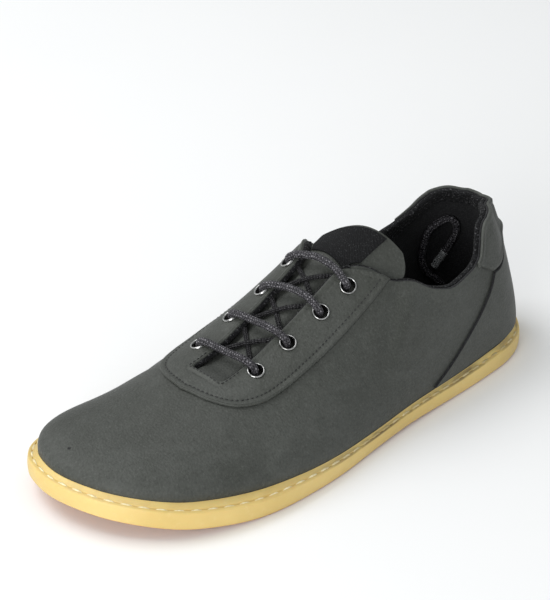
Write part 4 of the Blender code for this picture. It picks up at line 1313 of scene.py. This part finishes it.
def lace_end():
    """The loose end of the lace inside the collar, with its tip."""
    line = smooth_route(LACE_END, END_STEP)
    cord = keep(tube("lace_end_cord", line, LACE_DIAMETER / 2, 20, LACE), "waxed_cord", "lace_end")
    tip_points = int(TIP_LENGTH / END_STEP)
    tip_line = line[-tip_points:]
    radii = np.full(tip_points, LACE_DIAMETER / 2 + TIP_WALL)
    radii[0] -= TIP_EDGE
    tip = keep(tube("lace_tip", tip_line, radii, 24, SHEATH), "waxed_cord")
    path = smooth_route(LACE_END, PATH_STEP)
    [tuple(map(float, p)) for p in path]


lace_end()


# sole and insole

# points on each side of a ring, steps of a rounded edge, and angle up to which faces look smooth
STATIONS = 200
ROUND_STEPS = 4
SMOOTH_ANGLE = 50


def ring(inset, height):
    """Points round the shoe at an inset and a height, both functions of the station."""
    s = LENGTH * 0.5 * (1 - np.cos(np.pi * np.arange(STATIONS + 1) / STATIONS))
    halves = []
    for side in SIDES:
        line = EDGE[side]
        out = EDGE_OUT[side]
        x = np.interp(s, line[:, 1], line[:, 0])
        normal = np.stack([np.interp(s, line[:, 1], out[:, k]) for k in range(2)], axis=1)
        normal /= np.linalg.norm(normal, axis=1)[:, None]
        plan = np.stack([x, s], axis=1) - normal * inset(s)[:, None]
        halves.append(np.column_stack([plan, height(s, plan[:, 1])]))
    return to_world(np.vstack([halves[0], halves[1][-2:0:-1]]))


def cap(start):
    """Faces that close a ring from side to side, station by station."""
    size = 2 * STATIONS
    right = [0] + list(range(size - 1, STATIONS - 1, -1))
    faces = []
    for i in range(STATIONS):
        face = [i, i + 1, right[i + 1], right[i]]
        faces.append([start + k for k in dict.fromkeys(face)])
    return faces


def ring_solid(name, rings, material):
    """Closed solid through a stack of rings, with the first and last ones capped."""
    size = len(rings[0])
    faces = cap(0) + [face[::-1] for face in cap(size * (len(rings) - 1))]
    for k in range(len(rings) - 1):
        for i in range(size):
            j = (i + 1) % size
            faces.append([k * size + i, k * size + j, (k + 1) * size + j, (k + 1) * size + i])
    return finish_mesh(name, np.vstack(rings), faces, [material], angle=SMOOTH_ANGLE)


# the stitch groove's edges as shares of the ledge, and how full the side wall is
GROOVE_OUTER = 0.18
GROOVE_INNER = 0.38
SOLE_BULGE = 0.0003
WALL_RINGS = 8
# ledge's rings outside the groove and inside it
OUTER_SHARES = (0.08, GROOVE_OUTER - 0.02)
INNER_SHARES = (GROOVE_INNER + 0.03, 0.5, 0.62, 0.74, 0.86, 0.96)
# pitch, length and thread radius of the stitches, and how much they arch
SOLE_STITCH = (0.0079, 0.0068, 0.00056)
SOLE_STITCH_ARCH = 0.80


def even_inset(inset):
    """Inset function that is the same all round."""
    return lambda s: np.full_like(s, inset)


def wall_height(share):
    """Height function of a line on the side wall, between its two rounded edges."""
    def height(s, _):
        low = underside(s) + EDGE_CHAMFER
        return low + share * (rim(s) - RIM_ROUND - underside(s) - EDGE_CHAMFER)

    return height


def ledge_inset(share):
    """Inset function of a line on the ledge, a share of its width from the rim."""
    return lambda s: RIM_ROUND + share * (ledge_width(s) - RIM_ROUND)


def ledge_height(share, drop=0.0):
    """Height function of a line on the ledge, with a drop into the stitch groove."""
    return lambda s, t: rim(s) + LEDGE_RISE * share**1.5 - drop * GROOVE_DEPTH * ledge_width(s) / LEDGE


def sole():
    """Cup sole with a rounded edge, a slightly full side wall and a grooved ledge."""
    rings = []
    for k in range(ROUND_STEPS + 1):
        angle = math.pi / 2 * k / ROUND_STEPS
        inset = EDGE_CHAMFER * (1 - math.sin(angle))
        lift = EDGE_CHAMFER * (1 - math.cos(angle))
        rings.append(ring(even_inset(inset), lambda s, t, lift=lift: underside(t) + lift))
    for k in range(1, WALL_RINGS):
        share = k / WALL_RINGS
        rings.append(ring(even_inset(-SOLE_BULGE * math.sin(math.pi * share)), wall_height(share)))
    for k in range(ROUND_STEPS + 1):
        angle = math.pi / 2 * k / ROUND_STEPS
        inset = RIM_ROUND * (1 - math.cos(angle))
        drop = RIM_ROUND * (1 - math.sin(angle))
        rings.append(ring(even_inset(inset), lambda s, t, drop=drop: rim(s) - drop))
    middle = (GROOVE_OUTER + GROOVE_INNER) / 2
    half = (GROOVE_INNER - GROOVE_OUTER) / 2
    for share in OUTER_SHARES:
        rings.append(ring(ledge_inset(share), ledge_height(share)))
    for k in range(-3, 4):
        share = middle + half * k / 3
        drop = math.cos(k / 3 * math.pi / 2) ** 0.6
        rings.append(ring(ledge_inset(share), ledge_height(share, drop)))
    for share in INNER_SHARES:
        rings.append(ring(ledge_inset(share), ledge_height(share)))
    rings.append(ring(lambda s: ledge_width(s) - CLEAR, lambda s, t: rim(s) + LEDGE_RISE))
    rings.append(ring(lambda s: ledge_width(s) - CLEAR, lambda s, t: underside(t) + CUP_FLOOR))
    obj = ring_solid("outsole_gum", rings, GUM)
    cutter = tread_cutter()
    cut(obj, cutter)
    bpy.data.objects.remove(cutter, do_unlink=True)
    keep(obj, "gum_rubber", "outsole")
    thread = ring(ledge_inset(middle), ledge_height(middle, 1.0))
    thread = np.vstack([thread, thread[:1]])
    up = np.tile(np.array([0.0, 0.0, 1.0]), (len(thread), 1))
    stitches("sole_stitches", thread, up, SOLE_STITCH, SOLE_THREAD, "gum_rubber", SOLE_STITCH_ARCH)


def tread_cutter():
    """Bars that cut the flex grooves into the underside."""
    verts = []
    faces = []
    for share, half_width, centre in TREAD:
        x, y, _ = to_world(np.array([centre * BALL_WIDTH, share * LENGTH, 0.0]))
        base = len(verts)
        for z in (-TREAD_WIDTH, float(underside(share * LENGTH)) + TREAD_DEPTH):
            for u, v in ((-1, -1), (1, -1), (1, 1), (-1, 1)):
                dx = u * half_width * BALL_WIDTH
                dy = v * TREAD_WIDTH / 2
                verts.append((
                    x + dx * math.cos(TREAD_TURN) - dy * math.sin(TREAD_TURN),
                    y + dx * math.sin(TREAD_TURN) + dy * math.cos(TREAD_TURN),
                    z,
                ))
        quads = ([3, 2, 1, 0], [4, 5, 6, 7], [0, 1, 5, 4], [1, 2, 6, 5], [2, 3, 7, 6], [3, 0, 4, 7])
        faces += [[base + k for k in quad] for quad in quads]
    return finish_mesh("tread_cutter", verts, faces, [GUM])


sole()


INSOLE_ROUND = 0.0010


def insole_inset(more):
    """Inset function of a line round the insole."""
    return lambda s: ledge_width(s) + WALL + CLEAR + more


def insole_height(rise):
    """Height function of a line round the insole."""
    return lambda s, t: underside(t) + CUP_FLOOR + CLEAR + rise


def insole():
    """Thin textile footbed in the shoe."""
    rings = [ring(insole_inset(0.0), insole_height(0.0))]
    for k in range(ROUND_STEPS + 1):
        angle = math.pi / 2 * k / ROUND_STEPS
        inset = insole_inset(INSOLE_ROUND * (1 - math.cos(angle)))
        rings.append(ring(inset, insole_height(INSOLE_THICKNESS - INSOLE_ROUND * (1 - math.sin(angle)))))
    obj = ring_solid("insole_bed", rings, LINING)
    keep(obj, "lining", "insole")


insole()


# upper

# from w, to w and number of ribs
RIB_STOPS = (
    (0.0, W_HEEL, 40),
    (W_HEEL, 0.41, 44),
    (0.41, 0.47, 14),
    (0.47, W_THROAT, 44),
    (W_THROAT, W_TOE, 22),
    (W_TOE, 1.0, 50),
)
SIDE_ROWS = 42
VAMP_ROWS = 8
SKIN = 0.0012
SKIRT_ROWS = 3
SKIRT_DEPTH = LEDGE_RISE + SIDE_WALL * 0.35
# gap between leather and lining, and between an overlay and the leather that it lies on
SHEET_GAP = 0.00005
# how round the rims of leather sheets are
LEATHER_RIM = 0.9
LINING_RIM = 0.8


def upper_patches():
    """Side and vamp patches of both halves."""
    places = [0.0]
    for first, last, count in RIB_STOPS:
        places += spread(first, last, count)[1:]
    patches = []
    for side in SIDES:
        rows = []
        for w in places:
            edge = edge_h(w, side)
            skirt = [(w, -1.0 + k / SKIRT_ROWS) for k in range(SKIRT_ROWS)]
            rows.append(skirt + [(w, edge * k / SIDE_ROWS) for k in range(SIDE_ROWS + 1)])
        patches.append(patch(rows, side))
        front = [w for w in places if w >= W_THROAT - 1e-6]
        rows = []
        for w in front:
            edge = edge_h(w, side)
            rows.append([(w, edge + (1 - edge) * k / VAMP_ROWS) for k in range(VAMP_ROWS + 1)])
        patches.append(patch(rows, side))
    return patches


def eyelet_axes(number, side):
    """Centre on the eyestay's top and three axes of an eyelet, the last one along its hole."""
    w, share = EYELETS[side][number]
    h = h_at_distance(w, side, share * THROAT_HALF_WIDTH)
    points, normals = on_last(w, h, side, OVERLAY_CLEAR + EYESTAY_THICKNESS, creased=False)
    axis = normals[0]
    first = np.cross(axis, (0.0, 1.0, 0.0))
    first /= np.linalg.norm(first)
    return points[0], first, np.cross(axis, first), axis


def turned(number, side, profile, sides, closed):
    """Points and faces of a profile (radius, height) turned about an eyelet's axis."""
    centre, first, second, axis = eyelet_axes(number, side)
    verts = []
    faces = []
    count = len(profile)
    for i in range(sides):
        angle = 2 * math.pi * i / sides
        spoke = first * math.cos(angle) + second * math.sin(angle)
        verts += [centre + spoke * radius + axis * height for radius, height in profile]
        j = (i + 1) % sides
        for k in range(count if closed else count - 1):
            m = (k + 1) % count
            faces.append([i * count + k, j * count + k, j * count + m, i * count + m])
    return verts, faces


HOLE_FOOT = -0.0052
HOLE_TOP = 0.0015


def hole_cutter():
    """Plugs that cut the eyelets' holes."""
    verts = []
    faces = []
    radius = EYELET_HOLE_RADIUS + EYELET_BARREL_WALL + CLEAR
    sides = 24
    for number in range(len(EYELETS[1])):
        for side in SIDES:
            base = len(verts)
            some, quads = turned(number, side, ((radius, HOLE_FOOT), (radius, HOLE_TOP)), sides, False)
            verts += some
            faces += [[base + k for k in quad] for quad in quads]
            faces.append([base + 2 * k for k in range(sides)])
            faces.append([base + 2 * k + 1 for k in range(sides)][::-1])
    return finish_mesh("hole_cutter", verts, faces, [LINING])


HOLES = hole_cutter()
PATCHES = upper_patches()


def upper():
    """Leather shell and its lining."""
    leather = shell("upper_leather", PATCHES, 0.0, -SKIN, [LEATHER, LINING, LINING], LEATHER_RIM,
                    skirt=SKIRT_DEPTH)
    cut(leather, HOLES)
    keep(leather, "leather", "upper")
    lining = shell("upper_lining", PATCHES, -SKIN - SHEET_GAP, -WALL, [LINING], LINING_RIM, skirt=SKIRT_DEPTH)
    cut(lining, HOLES)
    keep(lining, "lining")


upper()


# pile: how far in h it reaches below and above the edge, and how far it starts and swells inwards
PILE_DEPTH = 0.060
PILE_ABOVE = 0.010
PILE_START = 0.0010
PILE_FULL = 0.0022
# the pile gets narrower in front of this w, down to this share
PILE_NARROWS = 0.40
PILE_NARROW = 0.35
PILE_STEEPNESS = 90


def pile_edges(w, side):
    """Where the pile begins and ends on a rib."""
    edge = edge_h(w, side)
    depth = PILE_DEPTH * (PILE_NARROW + (1 - PILE_NARROW) * fall(w, PILE_NARROWS, PILE_STEEPNESS))
    return edge - depth, edge + PILE_ABOVE


def collar_pile():
    """Roll of looped pile round the inside of the collar and of the facings' tops."""
    places = spread(0.0, W_HEEL, 60) + spread(W_HEEL, 0.30, 40)[1:] + spread(0.30, 0.47, 60)[1:]
    obj = shell("collar_pile", strip_patches(places, pile_edges, 10), -PILE_START, -WALL - PILE_FULL, [PILE])
    keep(obj, "lining")


collar_pile()


# rolled edges: radius, distance behind the throat's edge, height, and their first and last w
ROLL_RADIUS = 0.0015
ROLL_SET_BACK = 0.0006
ROLL_LIFT = -0.0003
ROLL_FROM = 0.455
ROLL_TO = W_THROAT - 0.004


def facing_rolls():
    """Black bound edges of the lining along the inner edges of the facings."""
    parts = []
    for side in SIDES:
        line = []
        for w in spread(ROLL_FROM, ROLL_TO, 70):
            distance = float(read(FACING[side], 1, w)) * THROAT_HALF_WIDTH + ROLL_SET_BACK
            points, _ = on_last(w, h_at_distance(w, side, distance), side, ROLL_LIFT, creased=False)
            line.append(points[0])
        parts.append(tube("facing_roll", line, ROLL_RADIUS, 14, PILE))
    keep(join("facing_rolls", parts), "lining")


facing_rolls()


# behind this w the eyestay is held within the leather's edge
W_STRIP_TOP = 0.46


def strip_point(row, share, side):
    """Point between the eyestay's inner and outer edge at a row of its table."""
    w = (1 - share) * row[0] + share * row[2]
    distance = ((1 - share) * row[1] + share * row[3]) * THROAT_HALF_WIDTH
    h = h_at_distance(w, side, distance)
    return (w, min(h, edge_h(w, side)) if w < W_STRIP_TOP else h)


def eyestay_rows(side, steps):
    """Rows of the eyestay's table, evenly spaced and smooth."""
    index = np.arange(len(EYESTAY[side]), dtype=float)
    table = np.column_stack([index, EYESTAY[side]])
    places = spread(0.0, index[-1], steps)
    return [[float(read(table, column, at)) for column in (1, 2, 3, 4)] for at in places]


# folded edge: height, distance from the edge and width, and the same of its stitch channel
FOLD = (0.00035, 0.0012, 0.0009)
CHANNEL = (-0.00030, 0.0031, 0.0005)


def rolled_edge(gap):
    """Folded edge that stands proud, with a shallow channel for the stitches inside it."""
    return sum(height * bell(gap - place, width) for height, place, width in (FOLD, CHANNEL))


# throat's seam: distance from the throat's end, height over the leather, length of its arms
THROAT_SEAM = 0.0011
THROAT_SEAM_RISE = 0.00032
THROAT_ARM = 0.0115
# eyestay's seam: how deep it lies in the channel
SEAM_SINK = 0.0002
# pitch, length and thread radius of the stitches, and how much they arch
EYESTAY_STITCH = (0.0024, 0.0017, 0.00030)
THROAT_STITCH = (0.0022, 0.0016, 0.00028)
LEATHER_STITCH_ARCH = 0.5
EYESTAY_TOP = OVERLAY_CLEAR + EYESTAY_THICKNESS


def side_of_box(share):
    """Sideways and backward shares along a U with rounded corners, share running from -1 to 1."""
    along = abs(share)
    turn = min(max((along - 0.40) / 0.24, 0.0), 1.0) * math.pi / 2
    side_way = min(along / 0.40, 1.0) * 0.82 + 0.18 * math.sin(turn)
    back = 0.16 * (1 - math.cos(turn)) + max(0.0, along - 0.64) / 0.36 * 0.84
    return side_way, back


def eyestay(rows):
    """U-shaped overlay round the throat."""
    shares = spread(0.0, 1.0, 22)
    patches = []
    for side in SIDES:
        points = [[strip_point(row, share, side) for share in shares] for row in rows[side]]
        patches.append(patch(points, side))
    obj = shell("eyestay_leather", patches, EYESTAY_TOP, SHEET_GAP, [OVERLAY, OVERLAY, LINING], LEATHER_RIM,
                profile=rolled_edge)
    cut(obj, HOLES)
    keep(obj, "leather", "eyestay")


def eyestay_stitches(rows):
    """Row of stitches inside the eyestay's outer edge."""
    line = []
    normals = []
    for side in SIDES:
        half = []
        for row in rows[side]:
            inner = (row[0] * W_SCALE, row[1] * THROAT_HALF_WIDTH)
            width = math.dist(inner, (row[2] * W_SCALE, row[3] * THROAT_HALF_WIDTH))
            w, h = strip_point(row, 1 - CHANNEL[1] / width, side)
            point, normal = on_last(w, h, side, EYESTAY_TOP - SEAM_SINK)
            half.append((point[0], normal[0]))
        if side < 0:
            half = half[::-1]
        line += [item[0] for item in half]
        normals += [item[1] for item in half]
    line = np.array(line)
    apart = np.concatenate([[True], np.linalg.norm(np.diff(line, axis=0), axis=1) > 1e-5])
    stitches("eyestay_stitches", line[apart], np.array(normals)[apart], EYESTAY_STITCH, DARK_THREAD,
             "leather", LEATHER_STITCH_ARCH)


def throat_stitches():
    """Box of stitches round the throat's front end."""
    line = []
    normals = []
    for share in spread(-1.0, 1.0, 48):
        side = 1 if share >= 0 else -1
        side_way, back = side_of_box(share)
        reach = (FACING[side][-1, 1] * THROAT_HALF_WIDTH + THROAT_SEAM) * side_way
        w = W_THROAT + (THROAT_SEAM - THROAT_ARM * back) / W_SCALE
        h = h_at_distance(w, side, abs(reach))
        point, normal = on_last(w, h, side, EYESTAY_TOP + THROAT_SEAM_RISE)
        line.append(point[0])
        normals.append(normal[0])
    stitches("throat_stitches", line, normals, THROAT_STITCH, DARK_THREAD, "leather", LEATHER_STITCH_ARCH)


STAY_ROWS = {side: eyestay_rows(side, 110) for side in SIDES}
eyestay(STAY_ROWS)
eyestay_stitches(STAY_ROWS)
throat_stitches()


def tab_low(w, side):
    """Lower edge of the heel tab."""
    return h_at_height(w, side, float(read(TAB_EDGE, 1, w)) * HEEL_HEIGHT)


# flare of the tab's lower edge: height, and how far it reaches in h and in w
FLARE = 0.0013
FLARE_H = 0.030
FLARE_W = 0.12
# how much of the tab's thickness goes towards its front end on the inner half, and over how much w
TAB_THINS = 0.75
TAB_THIN_RUN = 0.045
TAB_LEAST = 0.02


def tab_flare(w, h, side):
    """The tab's lower edge stands off the heel's back a little."""
    low = np.array([[tab_low(row[0], side)] * len(row) for row in w])
    flare = FLARE * bell(h - low, FLARE_H) * np.exp(-((w / FLARE_W) ** 4))
    if side > 0:
        return flare
    return flare - TAB_THINS * TAB_THICKNESS * np.clip((w - W_HEEL) / TAB_THIN_RUN, 0.0, 1.0)


def tab_edges(w, side):
    """Lower and upper edge of the heel tab on a rib."""
    high = edge_h(w, side)
    return min(tab_low(w, side), high - TAB_LEAST), high


def heel_tab():
    """Patch over the top of the heel."""
    places = spread(0.0, W_HEEL, 36) + spread(W_HEEL, TAB_EDGE[-1, 0], 16)[1:]
    obj = shell("heel_tab_leather", strip_patches(places, tab_edges, 14), OVERLAY_CLEAR + TAB_THICKNESS,
                SHEET_GAP, [OVERLAY, OVERLAY, LINING], LEATHER_RIM, profile=rolled_edge, extra=tab_flare)
    keep(obj, "leather", "heel_tab")


heel_tab()


def counter_high(w, side):
    """Upper edge of the counter: under the heel tab behind, along the seam in front."""
    if w <= COUNTER_SEAM[0, 0]:
        gap = (TAB_EDGE[4, 1] - COUNTER_SEAM[0, 1]) * HEEL_HEIGHT
        return h_at_height(w, side, float(read(TAB_EDGE, 1, w)) * HEEL_HEIGHT - gap)
    return h_at_height(w, side, float(read(COUNTER_SEAM, 1, w)) * HEEL_HEIGHT)


COUNTER_LOW = 0.02
COUNTER_LEAST = 0.01


def counter_edges(w, side):
    """Lower and upper edge of the counter on a rib."""
    return COUNTER_LOW, max(counter_high(w, side), COUNTER_LOW + COUNTER_LEAST)


def heel_counter():
    """Raised panel round the heel behind the diagonal seam."""
    start = COUNTER_SEAM[0, 0]
    places = spread(0.0, start, 40) + spread(start, COUNTER_SEAM[-1, 0], 34)[1:]
    # the counter's rim takes the black lining: painted shade that darkens the seam's groove along its upper
    # edge
    obj = shell("heel_counter_leather", strip_patches(places, counter_edges, 24),
                OVERLAY_CLEAR + COUNTER_THICKNESS, SHEET_GAP, [OVERLAY, LINING, LINING], LEATHER_RIM)
    keep(obj, "leather", "heel_counter")


heel_counter()


# tongue and label


def tongue_point(w, share, half):
    """Point of the tongue at a share of its half width; its top end is slanted."""
    slant = TONGUE_SLANT * share * max(0.0, (SLANT_END - w) / (SLANT_END - TONGUE[0, 0]))
    side = 1 if share >= 0 else -1
    return (w - slant, h_at_distance(w - slant, side, abs(share * half)))


# tongue's swells between the bars: height and reach in w
SWELL = 0.0007
SWELL_W = 0.016
# how deep its sides sink next to the throat's edges, and between which values of w
SIDE_SINK = 0.0012
SINK_FROM = 0.475
SINK_TO = 0.655
# its full front end: height, place and reach in w
TONGUE_FRONT = 0.0021
FRONT_W = 0.684
FRONT_REACH = 0.014
# the throat's width is read no further back than this
W_THROAT_TOP = 0.48


def tongue_bulge(w, h, side):
    """Swells of the tongue between the bars, its full front end and its sunken sides."""
    lift = np.zeros_like(w)
    rows = [(first[0] + second[0]) / 2 for first, second in zip(EYELETS[1], EYELETS[-1])]
    for first, second in zip(rows, rows[1:]):
        lift += SWELL * bell(w - (first + second) / 2, SWELL_W)
    edge = np.array([[edge_h(max(row[0], W_THROAT_TOP), side)] * len(row) for row in w])
    # 0 on the ridge line, 1 at the throat's edge
    off = np.clip((1 - h) / (1 - edge), 0.0, 1.2)
    middle = fall(off, 0.72, 14)
    inside = fall(w, SINK_FROM, -260) * fall(w, SINK_TO, 200)
    lift = lift * middle - SIDE_SINK * inside * (1 - middle)
    return lift + TONGUE_FRONT * fall(off, 0.95, 16) * bell(w - FRONT_W, FRONT_REACH)


def tongue():
    """Padded tongue under the throat."""
    places = spread(TONGUE[0, 0], TONGUE[2, 0], 10) + spread(TONGUE[2, 0], TONGUE[-1, 0], 110)[1:]
    patches = []
    for side in SIDES:
        rows = []
        for w in places:
            half = float(read(TONGUE, 1, w)) * THROAT_HALF_WIDTH
            rows.append([tongue_point(w, side * share, half) for share in spread(1.0, 0.0, 24)])
        patches.append(patch(rows, side))
    high = -(WALL + TONGUE_CLEAR)
    obj = shell("tongue_leather", patches, high, high - TONGUE_THICKNESS, [TONGUE_SKIN, LINING, LINING],
                extra=tongue_bulge)
    keep(obj, "leather", "tongue")


tongue()


# how far the label reaches past the tongue's end in w, and how far it stands into the tongue
LABEL_OVER = 0.0012
LABEL_RISE = 0.0001


def tongue_label():
    """Plain woven patch on the tongue's upper end."""
    start = TONGUE[0, 0] - LABEL_OVER
    half = float(read(TONGUE, 1, start)) * THROAT_HALF_WIDTH
    patches = []
    for side in SIDES:
        facing = FACING[side]
        columns = []
        for distance in spread(LABEL_SIDES[0 if side < 0 else 1] * side * THROAT_HALF_WIDTH, 0.0, 18):
            top_w = tongue_point(start, side * distance / half, half)[0]
            edge_w = float(np.interp(-distance / THROAT_HALF_WIDTH, -facing[:, 1], facing[:, 0]))
            low_w = min(LABEL_END, edge_w - LABEL_GAP)
            columns.append([(w, h_at_distance(w, side, distance)) for w in spread(top_w, low_w, 26)])
        patches.append(patch(columns, side))
    low = -(WALL + TONGUE_CLEAR) + LABEL_RISE
    obj = shell("tongue_label_tape", patches, low + LABEL_THICKNESS, low, [TAPE])
    keep(obj, "webbing", "tongue_label")


tongue_label()


# eyelets and lace

RING_SIDES = 48


def eyelets():
    """Rolled metal rings with their barrels."""
    hole = EYELET_HOLE_RADIUS
    barrel = hole + EYELET_BARREL_WALL
    foot = -(OVERLAY_CLEAR + EYESTAY_THICKNESS + WALL)
    profile = [(hole, foot)]
    middle = 0.5 * (hole + EYELET_RADIUS)
    reach = 0.5 * (EYELET_RADIUS - hole)
    for k in range(11):
        angle = math.pi * (1 - k / 10)
        profile.append((middle + reach * math.cos(angle), SHEET_GAP + EYELET_RIM_HEIGHT * math.sin(angle)))
    profile += [(EYELET_RADIUS - 0.0002, 0.0), (barrel, 0.0), (barrel, foot)]
    for side in SIDES:
        for number in range(len(EYELETS[side])):
            name = "%s_%d" % ("lateral" if side > 0 else "medial", number + 1)
            verts, faces = turned(number, side, profile, RING_SIDES, True)
            obj = finish_mesh("ring_" + name, verts, faces, [NICKEL], angle=60)
            keep(obj, "eyelet_metal", "eyelet_" + name)


eyelets()


# bars: height over the last near the eyelets and at the middle, and their bow in w
BAR_LIFT_END = 0.0048
BAR_LIFT_MIDDLE = 0.0032
BAR_BOW = (-0.003, -0.002, 0.002, 0.002)
# a bar's route out of its eyelet: distance along the eyelet's axis and towards the other one
BAR_EXIT = (
    (-0.0050, 0.0004),
    (-0.0022, 0.0004),
    (0.0003, 0.0007),
    (0.0021, 0.0021),
)
# a bar leans towards a point this far over the throat, and this share of the way to the other's w
BAR_LEAN = 0.004
BAR_LEAN_SHARE = 0.2
BAR_SHARES = (0.62, 0.42, 0.2, 0.0, -0.2, -0.42, -0.62)
# where a bar is as high over the last as its ends
BAR_LIFT_SHARE = 0.75
LACE_STEP = 0.0007
# crossings: radius, height over the last, step where they cross, tuck under the facings and the
# hidden length there
CROSS_RADIUS = 0.0012
CROSS_LIFT = -0.0012
CROSS_STEP = 0.0006
CROSS_TUCK = 0.0006
CROSS_HIDDEN = 0.25


def over_throat(w, distance, lift):
    """World point over the throat at a signed distance from the ridge."""
    side = 1 if distance >= 0 else -1
    points, _ = on_last(w, h_at_distance(w, side, abs(distance)), side, lift, creased=False)
    return points[0]


def bar_end(number, side):
    """Points of a bar from inside its eyelet to where it leans over the throat."""
    w, share = EYELETS[side][number]
    distance = side * share * THROAT_HALF_WIDTH
    centre, _, _, axis = eyelet_axes(number, side)
    other_w = EYELETS[-side][number][0]
    inward = over_throat(w + (other_w - w) * BAR_LEAN_SHARE, distance - side * BAR_LEAN, BAR_LIFT_END)
    inward = inward - over_throat(w, distance, BAR_LIFT_END)
    inward /= np.linalg.norm(inward)
    return [centre + axis * along + inward * across for along, across in BAR_EXIT]


def bar(number):
    """Bar of the lace from the outer eyelet to the inner one."""
    middle = []
    (w1, share1), (w2, share2) = EYELETS[1][number], EYELETS[-1][number]
    for share in BAR_SHARES:
        lift = BAR_LIFT_MIDDLE + (BAR_LIFT_END - BAR_LIFT_MIDDLE) * abs(share / BAR_LIFT_SHARE) ** 1.5
        distance = share * (share1 if share > 0 else share2) * THROAT_HALF_WIDTH
        w = w1 + (w2 - w1) * (1 - share) / 2 + BAR_BOW[number] * math.cos(share * math.pi / 2)
        middle.append(over_throat(w, distance, lift))
    line = smooth_route(bar_end(number, 1) + middle + bar_end(number, -1)[::-1], LACE_STEP)
    return tube("bar", line, LACE_DIAMETER / 2, 20, LACE)


def crossing(number, side):
    """Run of the lace from under one facing to the next eyelet's place under the other."""
    start = (EYELETS[side][number][0], side * (FACING[side][-1, 1] + CROSS_HIDDEN))
    end = (EYELETS[-side][number + 1][0], -side * (FACING[-side][-1, 1] + CROSS_HIDDEN))
    line = []
    for t in spread(0.0, 1.0, 14):
        w = start[0] + (end[0] - start[0]) * t
        distance = (start[1] + (end[1] - start[1]) * t) * THROAT_HALF_WIDTH
        tuck = CROSS_TUCK * abs(1 - 2 * t) ** 4
        lift = CROSS_LIFT - tuck + side * CROSS_STEP * math.sin(math.pi * t)
        line.append(over_throat(w, distance, lift))
    # the crossings take the braid's copy with painted shade
    return tube("cross", smooth_route(line, LACE_STEP), CROSS_RADIUS, 16, SHADED_LACE)


def lace():
    """Bars that run out of the eyelets over the throat, and the crossings under them."""
    count = len(EYELETS[1])
    bars = [bar(number) for number in range(count)]
    crossings = [crossing(number, side) for number in range(count - 1) for side in SIDES]
    keep(join("lace_bars", bars), "waxed_cord", "lace")
    keep(join("lace_crossings", crossings), "waxed_cord")


lace()
bpy.data.objects.remove(HOLES, do_unlink=True)


# floor and light

FLOOR_HALF = 6.0
FLOOR_DROP = 0.0003


def add_floor():
    """Pale plain floor."""
    n = Nodes("floor", (0.90, 0.90, 0.90), 0.9)
    n.colour(n.mix(n.map(n.noise(3.0), 0.3, 0.7), (0.90, 0.90, 0.90), (0.92, 0.92, 0.92)))
    corners = [(u * FLOOR_HALF, v * FLOOR_HALF, 0) for u, v in ((-1, -1), (1, -1), (1, 1), (-1, 1))]
    mesh = bpy.data.meshes.new("floor")
    mesh.from_pydata(corners, [], [[0, 1, 2, 3]])
    mesh.materials.append(n.material)
    floor = bpy.data.objects.new("floor", mesh)
    floor.location.z = -FLOOR_DROP
    bpy.context.scene.collection.objects.link(floor)


def add_area(name, place, target, size, energy):
    """Square soft light."""
    data = bpy.data.lights.new(name, "AREA")
    data.shape = "SQUARE"
    data.size = size
    data.energy = energy
    lamp = bpy.data.objects.new(name, data)
    lamp.location = place
    lamp.rotation_euler = (Vector(target) - Vector(place)).to_track_quat("-Z", "Y").to_euler()
    bpy.context.scene.collection.objects.link(lamp)


def add_light():
    """Bright even surroundings and two large soft lights, from the left and from the front."""
    world = bpy.data.worlds.new("studio")
    world.use_nodes = True
    background = world.node_tree.nodes["Background"]
    background.inputs["Color"].default_value = (0.97, 1.0, 1.01, 1.0)
    background.inputs["Strength"].default_value = 0.55
    bpy.context.scene.world = world
    add_area("key", (-0.75, -0.45, 1.25), (0.0, 0.0, 0.03), 1.1, 13.5)
    add_area("front", (0.55, -1.35, 0.45), (0.0, -0.02, 0.03), 0.8, 13.0)
    bpy.context.scene.view_settings.view_transform = "Standard"


add_floor()
add_light()
